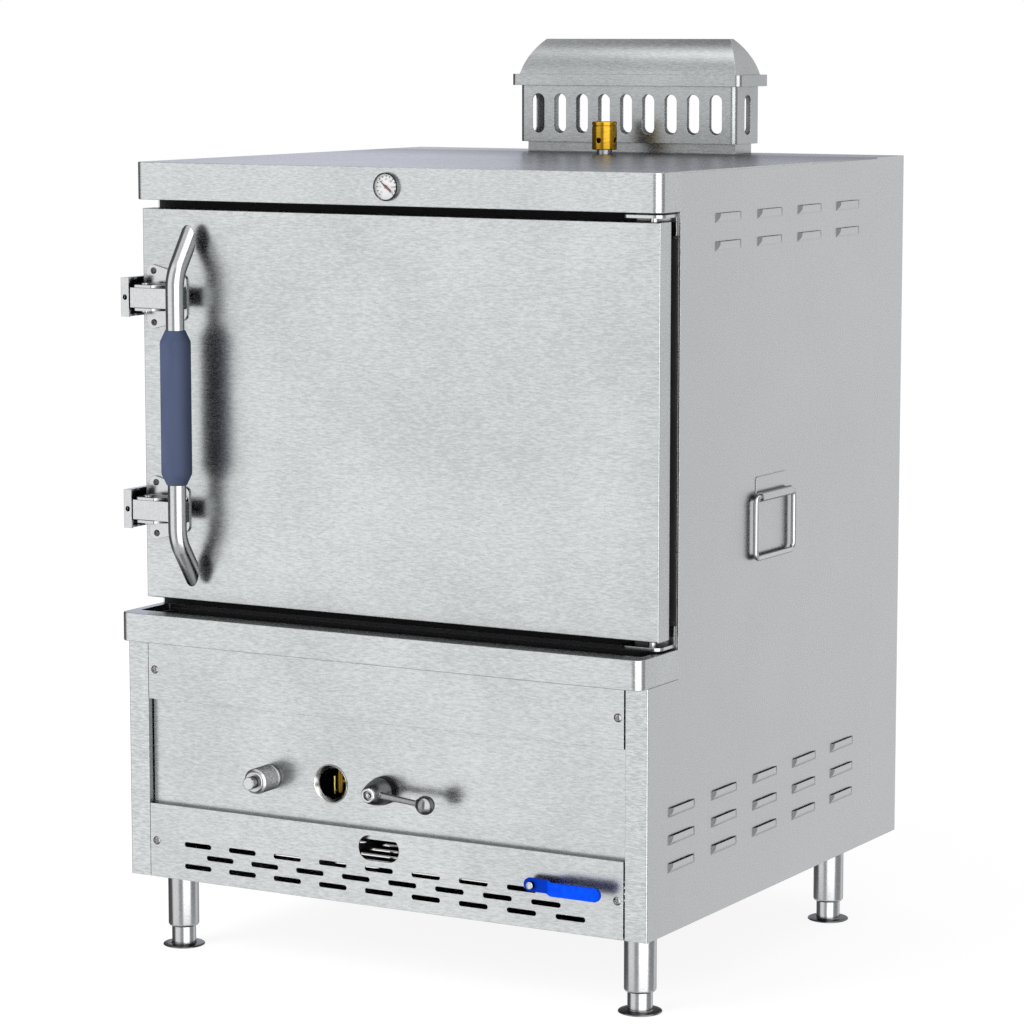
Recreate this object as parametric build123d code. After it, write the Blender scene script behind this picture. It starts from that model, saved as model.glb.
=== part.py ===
"""Gas-fired steam cabinet: a pivot-hung door over a drip gutter, a burner base on screw feet and a rear flue.

Millimetres, +Z up, X across the front and +Y towards the back. The origin is on the floor, under the middle
of the cabinet's outer box.
"""
import os
from math import cos, pi, radians, sin

from build123d import *

# Casing
width = 760.0
sheet = 2.0
base_height = 311.5
gutter_height = 37.0
bay_height = 530.0
header_height = 48.0
body_depth = 571.0
duct_depth = 88.0
base_step = 79.0
post_width = 30.0
leg_height = 103.0
header_reach = 52.0
header_corner = 11.0
bend_radius = 1.5
edge_round = 1.2
overrun = 1.0
tolerance = 0.01
seam_gap = 0.8
running_gap = 0.05
seal_gap = 0.3

# Louvres pressed out of the side panels
louvre_length = 72.0
louvre_height = 11.5
louvre_depth = 3.2
louvre_wall = 1.0
louvre_taper = 9.0
louvre_row_pitch = 34.5
louvre_first = 54.0
louvre_last = 56.8
lower_louvre_rise = 144.5
upper_louvre_drop = 65.5
louvre_columns = 5
lower_louvre_rows = 3
upper_louvre_rows = 2
louvre_bulge_shares = (0.74, 0.42)

# Drip gutter
gutter_reach = 98.0
gutter_corner = 12.5
gutter_front_rim = 28.0
gutter_side_rim = 13.0
gutter_back_rim = 5.0
trough_depth = 6.0
trough_corner = 4.0
gutter_drain_radius = 12.5
gutter_drain_side = 31.0
gutter_drain_front = 62.0
gutter_drain_length = 60.0
gutter_drain_wall = 1.5

# Front panels of the base
strip_height = 76.5
slotted_height = 97.0
control_recess = 10.0
control_gap = 1.6
right_seam_gap = 2.4
panel_lap = 14.0
screw_head_radius = 5.5
screw_head_height = 2.6
screw_shank_radius = 2.5
screw_shank_length = 9.0
screw_inset = 10.5
strip_screw_drop = 38.0
slotted_screw_rise = 48.0
slot_length = 41.5
slot_width = 6.5
slot_margin = 54.4
slot_row_pitch = 14.4
slot_columns = 9
slot_rows = 3
slot_rise = 47.6
port_length = 60.0
port_width = 32.0
port_rise = 74.3

# Legs and feet
leg_radius = 20.2
leg_tube_length = 77.0
leg_side_inset = 40.0
leg_front_setback = 60.0
leg_rear_setback = 42.0
foot_neck_radius = 15.8
foot_neck_grip = 45.0
foot_flange_radius = 27.5
foot_flange_height = 2.2

# Steam chamber
chamber_side_gap = 60.0
chamber_back_gap = 51.0
chamber_rise = 28.5
liner_wall = 1.5
throat_side_margin = 140.0
throat_end_margin = 100.0
insulation_air_gap = 12.0
face_seal_depth = 3.0
face_seal_margin = 4.0
rail_width = 22.0
rail_height = 14.0
rail_wall = 2.0
rail_count = 3
shelf_wall = 2.0
shelf_side_gap = 3.0
shelf_end_gap = 14.0
shelf_slot_length = 80.0
shelf_slot_width = 14.0
shelf_slot_columns = 5
shelf_slot_rows = 12

# Base floor, water pan and burner
floor_slot_length = 70.0
floor_slot_width = 12.0
floor_slot_margin = 105.0
floor_slot_row_pitch = 30.0
floor_slot_columns = 6
floor_slot_rows = 6
floor_slot_setback = 100.0
pan_side_gap = 20.0
pan_height = 112.0
pan_setback = 25.0
pan_wall = 2.0
burner_pipe_gap = 25.0
burner_ring = 55.0
burner_height = 28.0
burner_rise = 134.0
burner_post_radius = 8.0
burner_posts = 4
burner_port_radius = 2.5
burner_port_depth = 8.0
burner_ports = 24
venturi_radius = 11.5

# Gas, water and drain lines
pipe_radius = 10.65
pipe_wall = 2.6
pipe_run_radius = 10.0
pipe_bend = 26.0
inlet_stub = 30.0
gas_side = 205.0
water_side = 170.0
water_drop = 57.5
gas_valve_x = 2.0
control_rise = 148.0
gas_valve_radius = 17.0
gas_valve_length = 47.0
gas_pipe_setback = 24.0
pilot_tube_radius = 4.0
pilot_radius = 6.0
pilot_height = 30.0
electrode_radius = 1.6
electrode_side = 10.5
electrode_length = 23.0
electrode_drop = 6.5
electrode_arm_radius = 1.2
electrode_arm_drop = 7.0
sight_x = -77.0
sight_radius = 25.0
sight_wall = 2.4
sight_proud = 1.5
sight_length = 10.0
drain_side = 152.0
drain_rise = 58.0
drain_pipe_radius = 13.5
drain_pipe_wall = 2.8
drain_pan_setback = 60.0
drain_valve_size = 36.0
drain_valve_height = 48.0
drain_outlet_length = 20.0
drain_neck_radius = 12.5
hole_clearance = 0.5

# Gas lever
lever_stem_radius = 5.0
lever_hub_radius = 18.2
lever_hub_tip_radius = 8.9
lever_hub_length = 39.5
lever_hub_bulge_shares = (0.86, 0.52)
lever_hub_gap = 0.5
lever_rod_radius = 4.6
lever_rod_tip_radius = 3.4
lever_rod_back = 25.0
lever_rod_reach = 82.0
lever_rod_lean = 11.0
lever_rod_droop = 4.0
lever_knob_radius = 12.0
lever_knob_socket = 7.0
lever_stem_grip = 30.0

# Drain lever
drain_lever_width = 17.0
drain_lever_wall = 4.0
drain_lever_gap = 10.0
drain_lever_tail = 11.0
drain_lever_bend = 22.0
drain_lever_step = 12.0
drain_lever_step_run = 9.0
drain_lever_reach = 101.5
drain_stem_radius = 4.0
drain_cap_radius = 4.8
drain_cap_height = 6.0
drain_stem_grip = 14.0

# Igniter
igniter_x = -168.0
igniter_reach = 52.0
igniter_radius = 16.5
igniter_knurl_depth = 0.9
igniter_knurls = 32
igniter_length = 36.0
igniter_nose_radius = 13.5
igniter_nose_length = 4.0
igniter_tail_radius = 9.0
igniter_tail_length = 40.0
button_radius = 8.2
button_shaft_radius = 7.0
button_shaft_length = 26.0
button_travel = 6.0

# Flue
flue_setback = 41.75
flue_wall = 1.5
flue_corner = 8.0
riser_side_inset = 6.25
riser_end_inset = 13.25
riser_height = 13.5
flue_box_width = 335.5
flue_box_depth = 75.5
flue_box_height = 78.0
skirt_side_reach = 10.0
skirt_end_reach = 7.5
skirt_height = 15.5
dome_rise = 48.5
dome_run = 33.5
dome_end_run = 24.5
dome_bulge_shares = (0.42, 0.585)
flue_slots = 9
flue_slot_margin = 20.2
flue_slot_width = 19.0
flue_slot_length = 54.5
flue_slot_rise = 39.3

# Relief valve
relief_setback = 58.0
relief_radius = 16.9
relief_height = 38.0
relief_groove = 0.8
relief_groove_drop = 6.0
relief_hole_radius = 3.7
relief_hole_rise = 12.5
relief_seat_radius = 10.5
relief_seat_rise = 6.0
relief_pipe_radius = 10.0
relief_pipe_bore = 6.0
relief_guide_radius = 4.0
relief_guide_length = 28.0
relief_lift = 12.0

# Thermometer
dial_radius = 17.6
dial_proud = 5.0
dial_body_radius = 13.0
dial_body_length = 14.0
dial_lip = 1.6
dial_pocket = 4.2
dial_wall = 0.6
lens_wall = 0.8
pointer_length = 13.0
pointer_tail = 9.0
pointer_width = 2.6
pointer_wall = 0.6
pointer_lift = 0.8
pointer_hub_radius = 2.0
pointer_pin_radius = 0.8
pointer_pin_length = 4.0
pointer_tilt = 38.0
probe_radius = 3.0
probe_setback = 45.0
probe_dip = 30.0
probe_bend = 12.0

# Door
door_side_gap = 5.0
door_thickness = 28.0
door_gap = 15.0
door_lift = 13.5
door_head_gap = 11.5
door_wall = 1.5
door_back_wall = 2.0
gasket_inset = 18.0
gasket_width = 26.0
gasket_top_inset = 10.0
hinge_inset = 15.3
hinge_pin_radius = 5.0
hinge_pin_grip = 34.0
hinge_strap_gap = 7.0
hinge_strap_top_gap = 5.0
hinge_strap_wall = 4.0
hinge_strap_width = 56.0
hinge_strap_front = 13.0
hinge_strap_side = 1.0
hinge_strap_corner = 12.0
hinge_tab_width = 24.0
hinge_tab_height = 22.0
hinge_tab_wall = 3.0

# Latches, handle and keepers
latch_rise = 118.0
latch_upper_drop = 113.0
latch_plate_wall = 3.0
latch_plate_left = 7.0
latch_plate_right = 69.0
latch_plate_tall = 88.0
latch_plate_short = 56.0
latch_plate_corner = 9.0
latch_screw_side = 18.3
latch_screw_rise = 33.3
latch_screw_radius = 4.3
latch_screw_height = 1.8
latch_pin_side = 20.0
latch_pin_front = 23.0
latch_pin_radius = 4.0
latch_pin_head = 2.0
latch_pin_head_radius = 6.0
ear_wall = 3.5
ear_gap = 0.4
ear_left = 14.0
ear_front = 10.5
ear_flat = 15.0
ear_slope = 46.0
ear_corner = 5.0
arm_height = 25.5
arm_front = 9.0
arm_back = 5.0
arm_nose = 18.5
arm_front_run = 50.0
arm_back_run = 60.0
handle_side = 81.0
handle_standoff = 46.0
handle_radius = 11.8
handle_wall = 1.5
handle_bend = 47.0
handle_low = 85.5
handle_high_drop = 83.3
handle_end_rise = 44.0
handle_end_back = 30.0
handle_cut_angle = 1.0
handle_run_on_share = 2
grip_low = 156.0
grip_high_drop = 151.0
grip_radius = 19.7
grip_end_radius = 13.2
grip_cone = 14.0
keeper_height = 50.0
keeper_wall = 3.0
keeper_stand = 8.5
keeper_front = 74.0
keeper_back = 45.0
keeper_lip = 12.0
keeper_hole_radius = 3.5
keeper_pad = 2.0

# Side ring handles
ring_rise = 512.0
ring_setback = 254.8
ring_width = 110.0
ring_drop = 77.0
ring_wire_radius = 3.5
ring_bend = 9.0
ring_stand = 6.2
ring_barrel_radius = 6.0
ring_barrel_length = 86.0
ring_plate_width = 88.5
ring_plate_above = 25.0
ring_plate_below = 8.0
ring_plate_wall = 1.2
ring_plate_corner = 4.0

# Places, widths and pitches that follow from these sizes
half = width / 2
underside = leg_height
gutter_low = underside + base_height
gutter_top = gutter_low + gutter_height
header_low = gutter_top + bay_height
top = header_low + header_height
front_reach = base_step - control_recess + igniter_reach
rear_reach = body_depth + duct_depth + inlet_stub
face = (front_reach - rear_reach) / 2
seam = face + body_depth
rear = seam + duct_depth
base_front = face - base_step
gutter_front = face - gutter_reach
header_front = face - header_reach
panel_front = base_front + control_recess
panel_back = panel_front + sheet
panel_half = half - post_width
slot_pitch = (2 * (panel_half - slot_margin) - slot_length) / (slot_columns - 1)
louvre_run = base_step + body_depth - louvre_first - louvre_last - louvre_length
louvre_pitch = louvre_run / (louvre_columns - 1)
strip_low = gutter_low - strip_height
slotted_top = underside + slotted_height
chamber_width = width - 2 * chamber_side_gap
chamber_depth = body_depth - chamber_back_gap
chamber_height = bay_height - 2 * chamber_rise
chamber_half = chamber_width / 2
chamber_low = gutter_top + chamber_rise
chamber_top = chamber_low + chamber_height
chamber_back = face + chamber_depth
chamber_middle = face + chamber_depth / 2
throat_width = chamber_width - 2 * throat_side_margin
throat_depth = chamber_depth - 2 * throat_end_margin
control_z = underside + control_rise
valve_y = panel_back + gas_pipe_setback
floor_top = underside + sheet
floor_slot_pitch = (width - 2 * floor_slot_margin - floor_slot_length) / (floor_slot_columns - 1)
drain_x = half - drain_side
drain_z = underside + drain_rise
drain_y = face + drain_pan_setback
pan_width = chamber_width - 2 * pan_side_gap
pan_depth = chamber_depth - 2 * pan_setback
pan_top = chamber_low - liner_wall
pan_low = pan_top - pan_height
pan_front = face + pan_setback
gas_x = half - gas_side
water_x = water_side - half
water_z = pan_top - water_drop
burner_low = underside + burner_rise
burner_radius = gas_x - pipe_run_radius - burner_pipe_gap
burner_bore = burner_radius - burner_ring
flue_y = seam + flue_setback
riser_width = flue_box_width - 2 * riser_side_inset
riser_depth = flue_box_depth - 2 * riser_end_inset
skirt_width = flue_box_width + 2 * skirt_side_reach
skirt_depth = flue_box_depth + 2 * skirt_end_reach
flue_slot_pitch = (flue_box_width - 2 * flue_slot_margin - flue_slot_width) / (flue_slots - 1)
box_low = top + riser_height
skirt_low = box_low + flue_box_height
skirt_top = skirt_low + skirt_height
relief_y = seam - relief_setback
dial_z = header_low + header_height / 2
dial_front = header_front - dial_proud
dial_floor = dial_front + dial_pocket
probe_y = face + probe_setback
door_half = half - door_side_gap
door_back = face - door_gap
door_front = door_back - door_thickness
door_low = gutter_top + door_lift
door_top = header_low - door_head_gap
pin_x = door_half - hinge_inset
pin_y = (door_front + door_back) / 2
latch_x = latch_pin_side - door_half
latch_y = door_front - latch_pin_front
latch_heights = (door_low + latch_rise, door_top - latch_upper_drop)
handle_x = handle_side - door_half
handle_y = door_front - handle_standoff
ring_x = half + ring_stand
ring_y = face + ring_setback
ring_z = underside + ring_rise


def span(centre, size):
    """Low and high ends of a length about its middle."""
    return (centre - size / 2, centre + size / 2)


def past(ends):
    """Ends that run on past both faces, for a clean cut."""
    return (ends[0] - overrun, ends[1] + overrun)


def block(x, y, z):
    """A box between the low and high ends given for each axis."""
    middle = Pos((x[0] + x[1]) / 2, (y[0] + y[1]) / 2, (z[0] + z[1]) / 2)
    return middle * Box(x[1] - x[0], y[1] - y[0], z[1] - z[0])


def rod_x(at, radius, x):
    """A round bar along X, at (y, z)."""
    return Pos((x[0] + x[1]) / 2, at[0], at[1]) * Rot(0, 90, 0) * Cylinder(radius, x[1] - x[0])


def rod_y(at, radius, y):
    """A round bar along Y, at (x, z)."""
    return Pos(at[0], (y[0] + y[1]) / 2, at[1]) * Rot(90, 0, 0) * Cylinder(radius, y[1] - y[0])


def rod_z(at, radius, z):
    """A round bar along Z, at (x, y)."""
    return Pos(at[0], at[1], (z[0] + z[1]) / 2) * Cylinder(radius, z[1] - z[0])


def slot_through_y(at, length, breadth, y, turn=0):
    """A round-ended slot cut along Y, at (x, z), lying along X or turned upright."""
    depth = y[1] - y[0]
    shape = extrude(SlotOverall(length, breadth, rotation=turn), amount=depth / 2, both=True)
    return Pos(at[0], (y[0] + y[1]) / 2, at[1]) * Rot(90, 0, 0) * shape


def slot_through_x(at, length, breadth, x):
    """An upright round-ended slot cut along X, at (y, z)."""
    depth = x[1] - x[0]
    shape = extrude(SlotOverall(length, breadth), amount=depth / 2, both=True)
    return Pos((x[0] + x[1]) / 2, at[0], at[1]) * Rot(0, 90, 0) * shape


def slot_through_z(at, length, breadth, z):
    """A round-ended slot along X cut along Z, at (x, y)."""
    depth = z[1] - z[0]
    shape = extrude(SlotOverall(length, breadth), amount=depth / 2, both=True)
    return Pos(at[0], at[1], (z[0] + z[1]) / 2) * shape


def rounded_prism(size, corner, centre, z):
    """An upright prism of a rectangle with rounded corners."""
    shape = extrude(RectangleRounded(size[0], size[1], corner), amount=z[1] - z[0])
    return Pos(centre[0], centre[1], z[0]) * shape


def plan_prism(points, z):
    """An upright prism of an outline given in X and Y."""
    outline = Polyline(*points, close=True)
    return Pos(0, 0, z[0]) * extrude(make_face(outline), amount=z[1] - z[0], dir=(0, 0, 1))


def edges_along(shape, axis, x=None, y=None, z=None):
    """The shape's straight edges along an axis whose middles lie at the places given."""
    picked = []
    for edge in shape.edges().filter_by(axis):
        at = edge.center()
        pairs = ((at.X, x), (at.Y, y), (at.Z, z))
        if all(want is None or abs(have - want) < tolerance for have, want in pairs):
            picked.append(edge)
    return picked


def tube_along(path, radius, wall):
    """A tube that follows a path."""
    section = Plane(path @ 0, z_dir=path % 0)
    outer = sweep(section * Circle(radius), path=path)
    return outer - sweep(section * Circle(radius - wall), path=path)


def evenly(count, pitch):
    """Places about zero, a pitch apart."""
    return [(i - (count - 1) / 2) * pitch for i in range(count)]


def louvre_solid(depth, low, inner):
    """One louvre at the sheet's outer face: curved in section and tapered at both ends."""
    bulge = (louvre_bulge_shares[0] * depth, low + louvre_bulge_shares[1] * (louvre_height - low))
    section = Polyline((0, low), (inner, low), (inner, louvre_height), (depth, louvre_height))
    section += ThreePointArc((depth, louvre_height), bulge, (0, low))
    side = Plane.XZ * make_face(section)
    along = extrude(side, amount=louvre_length / 2, both=True)
    foot = louvre_length / 2 - low
    nose = foot - louvre_taper
    near_end = [(inner, -foot), (0, -foot), (depth, -nose)]
    far_end = [(depth, nose), (0, foot), (inner, foot)]
    taper = Polyline(*near_end, *far_end, close=True)
    plan = extrude(make_face(taper), amount=louvre_height, dir=(0, 0, 1))
    return along & plan


def side_panel():
    """Right casing side, bent round the base front and back again as a post, with its louvres."""
    skin = (half - sheet, half)
    panel = block(skin, (base_front, seam), (underside, gutter_low))
    panel += block(skin, (face, seam), (gutter_low, top - sheet))
    panel += block((panel_half, half), (base_front, base_front + sheet), (underside, gutter_low))
    panel += block((panel_half, panel_half + sheet), (base_front, panel_back), (floor_top, gutter_low))
    panel = fillet(edges_along(panel, Axis.Z, x=half, y=base_front), bend_radius)
    hood = louvre_solid(louvre_depth, 0, -sheet)
    hollow = louvre_solid(louvre_depth - louvre_wall, louvre_wall, -sheet - overrun)
    places = []
    for column in range(louvre_columns):
        y = base_front + louvre_first + louvre_length / 2 + column * louvre_pitch
        for row in range(lower_louvre_rows):
            places.append((y, underside + lower_louvre_rise - row * louvre_row_pitch))
        if column:
            for row in range(upper_louvre_rows):
                places.append((y, top - upper_louvre_drop - row * louvre_row_pitch))
    panel += [Pos(half, y, z) * hood for y, z in places]
    return panel - [Pos(half, y, z) * hollow for y, z in places]


def top_cover():
    """Top sheet with the header band folded down in front, round its two corners."""
    band = block((-half, half), (header_front, face), (header_low, top))
    band = fillet(band.edges().filter_by(Axis.Z).group_by(Axis.Y)[0], header_corner)
    front_edges = band.faces().filter_by(Axis.Z, reverse=True).sort_by(Axis.Y)[0].edges().filter_by(Axis.X)
    band = fillet(front_edges, edge_round)
    inside = block((sheet - half, half - sheet), (header_front + sheet, face + overrun),
                   (header_low + sheet, top - sheet))
    inside = fillet(inside.edges().filter_by(Axis.Z).group_by(Axis.Y)[0], header_corner - sheet)
    plate = block((-half, half), (face, seam), (top - sheet, top))
    cover = band - inside + plate
    cover -= rod_y((0, dial_z), dial_body_radius, past((header_front, header_front + sheet)))
    return cover - rod_z((0, relief_y), relief_seat_radius, past((top - sheet, top)))


def rear_cover():
    """The flue column behind the body: a folded duct, open to the burner space low down in front."""
    outer = block((-half, half), (seam, rear), (underside, top))
    outer = fillet(outer.edges().filter_by(Axis.Z).group_by(Axis.Y)[-1], bend_radius)
    inside = (sheet - half, half - sheet)
    duct = outer - block(inside, (seam + sheet, rear - sheet), (underside + sheet, top - sheet))
    duct -= block(inside, past((seam, seam + sheet)), (underside + sheet, pan_top))
    mouth_x = span(0, riser_width - 2 * flue_wall)
    mouth_y = span(flue_y, riser_depth - 2 * flue_wall)
    duct -= block(mouth_x, mouth_y, past((top - sheet, top)))
    for at in ((gas_x, control_z), (water_x, water_z)):
        duct -= rod_y(at, pipe_run_radius, past((rear - sheet, rear)))
    return duct


def chamber_liner():
    """Inner steam box welded up from sheets, with a flange that closes the casing round the door opening."""
    x = (-chamber_half, chamber_half)
    y = (face + sheet, chamber_back + liner_wall)
    height = (chamber_low, chamber_top)
    wide = span(0, chamber_width + 2 * liner_wall)
    floor = block(wide, y, (pan_top, chamber_low))
    floor -= block(span(0, throat_width), span(chamber_middle, throat_depth), past((pan_top, chamber_low)))
    roof_z = (chamber_top, chamber_top + liner_wall)
    roof = block(wide, y, roof_z)
    roof -= rod_z((0, relief_y), relief_pipe_radius, past(roof_z))
    roof -= rod_z((0, probe_y), probe_radius, past(roof_z))
    right = block((x[1], wide[1]), y, height)
    back = block(x, (chamber_back, y[1]), height)
    thick = (face, face + sheet)
    flange = block((sheet - half, half - sheet), thick, (gutter_low, top - sheet))
    flange -= block(x, past(thick), height)
    flange -= rod_y((0, dial_z), probe_radius + hole_clearance, past(thick))
    return [floor, roof, right, mirrored(right), back, flange]


def insulation_blanket():
    """Mineral wool round the sides, top and back of the liner."""
    side = half - sheet - insulation_air_gap
    wool = block((-side, side), (face + sheet, seam), (pan_top, top - sheet))
    wool -= block(span(0, chamber_width + 2 * liner_wall), (face, chamber_back + liner_wall),
                  (pan_top - overrun, chamber_top + liner_wall))
    wool -= rod_z((0, relief_y), relief_seat_radius, (chamber_top, top))
    return wool - probe(probe_radius + hole_clearance)


def face_seal():
    """Black rubber facing on the flange round the opening, notched at the hinge brackets."""
    side = half - face_seal_margin
    depth = (face - face_seal_depth, face)
    rise = (gutter_top + seal_gap, header_low - seal_gap)
    seal = block((-side, side), depth, rise)
    seal -= block(span(0, chamber_width), past(depth), (chamber_low, chamber_top))
    notch_x = (door_half - hinge_tab_width - seal_gap, half)
    notch = hinge_tab_height + seal_gap
    strap_x = (door_half + hinge_strap_side - hinge_strap_width - seal_gap, half)
    for low, high in ((gutter_top, door_low + notch), (door_top - notch, header_low)):
        seal -= block(notch_x, past(depth), (low, high))
    for low, high in ((gutter_top, door_low), (door_top, header_low)):
        seal -= block(strap_x, past(depth), (low, high))
    return seal


def shelf_levels():
    """Heights of the shelves' undersides."""
    return [chamber_low + chamber_height * (i + 1) / (rail_count + 1) for i in range(rail_count)]


def shelf_rails():
    """Angle rails on both chamber walls."""
    rails = []
    ends = (face + shelf_end_gap, chamber_back - shelf_end_gap)
    for z in shelf_levels():
        for sign in (-1, 1):
            wall = sorted((sign * chamber_half, sign * (chamber_half - rail_wall)))
            foot = sorted((sign * chamber_half, sign * (chamber_half - rail_width)))
            rail = block(wall, ends, (z - rail_height, z))
            rails.append(rail + block(foot, ends, (z - rail_wall, z)))
    return rails


def steam_shelves():
    """Slotted lift-out shelves that rest on the rails."""
    side = chamber_half - shelf_side_gap
    ends = (face + shelf_end_gap, chamber_back - shelf_end_gap)
    depth = ends[1] - ends[0]
    row_pitch = depth / (shelf_slot_rows + 1)
    column_pitch = 2 * side / (shelf_slot_columns + 1)
    shelves = []
    for z in shelf_levels():
        thick = (z, z + shelf_wall)
        plate = block((-side, side), ends, thick)
        cuts = []
        for x in evenly(shelf_slot_columns, column_pitch):
            for y in evenly(shelf_slot_rows, row_pitch):
                at = (x, (ends[0] + ends[1]) / 2 + y)
                cuts.append(slot_through_z(at, shelf_slot_length, shelf_slot_width, past(thick)))
        shelves.append(plate - cuts)
    return shelves


def drip_gutter():
    """Folded gutter under the door: a shallow trough inside a broad rim, with a drain spigot."""
    outer = block((-half, half), (gutter_front, face), (gutter_low, gutter_top))
    outer = fillet(outer.edges().filter_by(Axis.Z).group_by(Axis.Y)[0], gutter_corner)
    front_edges = outer.faces().filter_by(Axis.Z, reverse=True).sort_by(Axis.Y)[0].edges().filter_by(Axis.X)
    outer = fillet(front_edges, edge_round)
    floor = gutter_top - trough_depth
    side = half - gutter_side_rim
    trough_front = gutter_front + gutter_front_rim
    hollow = block((sheet - half, half - sheet), (gutter_front + sheet, face + overrun),
                   (gutter_low + sheet, floor - sheet))
    hollow = fillet(hollow.edges().filter_by(Axis.Z).group_by(Axis.Y)[0], gutter_corner - sheet)
    trough = block((-side, side), (trough_front, face - gutter_back_rim), (floor, gutter_top + overrun))
    trough = fillet(trough.edges().filter_by(Axis.Z), trough_corner)
    at = (gutter_drain_side - half, gutter_front + gutter_drain_front)
    spigot = rod_z(at, gutter_drain_radius + gutter_drain_wall, (floor - gutter_drain_length, floor))
    bore = rod_z(at, gutter_drain_radius, past((floor - gutter_drain_length, floor)))
    return outer - hollow - trough + spigot - bore


def strip_panel():
    """Plain upper panel of the base, with a return at its lower edge."""
    x = (seam_gap - panel_half, panel_half - right_seam_gap)
    panel = block(x, (base_front, base_front + sheet), (strip_low, gutter_low))
    panel += block(x, (base_front, panel_front), (strip_low, strip_low + sheet))
    for x in (-1, 1):
        at = (x * (panel_half - screw_inset), gutter_low - strip_screw_drop)
        panel -= rod_y(at, screw_shank_radius, past((base_front, base_front + sheet)))
    return panel


def control_panel():
    """Recessed panel that carries the igniter, the sight port and the gas valve."""
    side = panel_half - control_gap
    panel = block((-side, side), (panel_front, panel_back), (slotted_top - panel_lap, strip_low + panel_lap))
    through = past((panel_front, panel_back))
    panel -= rod_y((igniter_x, control_z), igniter_tail_radius, through)
    panel -= rod_y((sight_x, control_z), sight_radius, through)
    return panel - rod_y((gas_valve_x, control_z), lever_stem_radius + hole_clearance, through)


def slotted_panel():
    """Lower panel with staggered air slots and a round-ended lighting port."""
    x = (seam_gap - panel_half, panel_half - right_seam_gap)
    through = past((base_front, base_front + sheet))
    panel = block(x, (base_front, base_front + sheet), (underside, slotted_top))
    panel += block(x, (base_front, panel_front), (slotted_top - sheet, slotted_top))
    cuts = [slot_through_y((0, underside + port_rise), port_length, port_width, through)]
    for row in range(slot_rows):
        z = underside + slot_rise - row * slot_row_pitch
        for x in evenly(slot_columns - row % 2, slot_pitch):
            cuts.append(slot_through_y((x, z), slot_length, slot_width, through))
    cuts.append(rod_y((drain_x, drain_z), drain_stem_radius + hole_clearance, through))
    for x in (-1, 1):
        at = (x * (panel_half - screw_inset), underside + slotted_screw_rise)
        cuts.append(rod_y(at, screw_shank_radius, through))
    return panel - cuts


def panel_screws():
    """Pan-head screws of the two removable front panels."""
    screws = []
    for z in (gutter_low - strip_screw_drop, underside + slotted_screw_rise):
        for x in (-1, 1):
            at = (x * (panel_half - screw_inset), z)
            head = rod_y(at, screw_head_radius, (base_front - screw_head_height, base_front))
            rim = head.edges().filter_by(GeomType.CIRCLE).group_by(Axis.Y)[0]
            head = fillet(rim, screw_head_height / 2)
            screws.append(head + rod_y(at, screw_shank_radius, (base_front, base_front + screw_shank_length)))
    return screws


def base_floor():
    """Bottom plate with rows of air slots and a hole for the drain outlet."""
    through = past((underside, floor_top))
    plate = block((sheet - half, half - sheet), (base_front + sheet, seam), (underside, floor_top))
    cuts = [rod_z((drain_x, drain_y), drain_pipe_radius + hole_clearance, through)]
    for row in range(floor_slot_rows):
        y = face + floor_slot_setback + row * floor_slot_row_pitch
        for x in evenly(floor_slot_columns, floor_slot_pitch):
            cuts.append(slot_through_z((x, y), floor_slot_length, floor_slot_width, through))
    return plate - cuts


def water_pan():
    """Open pan under the chamber floor in which the water boils, welded up from sheets."""
    x = span(0, pan_width)
    y = (pan_front, pan_front + pan_depth)
    bottom = (pan_low, pan_low + pan_wall)
    floor = block(x, y, bottom)
    floor -= rod_z((drain_x, drain_y), drain_pipe_radius - drain_pipe_wall, past(bottom))
    height = (bottom[1], pan_top)
    inner_y = (y[0] + pan_wall, y[1] - pan_wall)
    front = block(x, (y[0], inner_y[0]), height)
    back = block(x, (inner_y[1], y[1]), height)
    back -= rod_y((water_x, water_z), pipe_radius - pipe_wall, past((inner_y[1], y[1])))
    right = block((x[1] - pan_wall, x[1]), inner_y, height)
    return [floor, front, back, right, mirrored(right)]


def burner():
    """Cast ring burner with drilled ports, its mixing tube and its feet on the base floor."""
    centre = (0, chamber_middle)
    high = burner_low + burner_height
    ring = rod_z(centre, burner_radius, (burner_low, high))
    ring -= rod_z(centre, burner_bore, past((burner_low, high)))
    middle = (burner_radius + burner_bore) / 2
    ports = []
    for i in range(burner_ports):
        turn = 2 * pi * i / burner_ports
        at = (middle * cos(turn), chamber_middle + middle * sin(turn))
        ports.append(rod_z(at, burner_port_radius, (high - burner_port_depth, high + overrun)))
    ring -= ports
    for i in range(burner_posts):
        turn = 2 * pi * (i + 1 / 2) / burner_posts
        at = (middle * cos(turn), chamber_middle + middle * sin(turn))
        ring += rod_z(at, burner_post_radius, (floor_top, burner_low))
    tube = (panel_back + gas_valve_length, chamber_middle - middle)
    return ring + rod_y((gas_valve_x, control_z), venturi_radius, tube)


def inlet_stub_tube(at):
    """Thicker end of a supply pipe, on the rear cover at (x, z)."""
    y = (rear, rear + inlet_stub)
    return rod_y(at, pipe_radius, y) - rod_y(at, pipe_radius - pipe_wall, past(y))


def gas_pipe():
    """Supply pipe from the rear stub along the right side to the valve."""
    path = FilletPolyline((gas_x, rear, control_z), (gas_x, valve_y, control_z),
                          (gas_valve_x + gas_valve_radius, valve_y, control_z), radius=pipe_bend)
    run = tube_along(path, pipe_run_radius, pipe_run_radius - pipe_radius + pipe_wall)
    return run - gas_valve_shell() + inlet_stub_tube((gas_x, control_z))


def gas_valve_shell():
    """The valve's plain barrel."""
    return rod_y((gas_valve_x, control_z), gas_valve_radius, (panel_back, panel_back + gas_valve_length))


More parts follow.
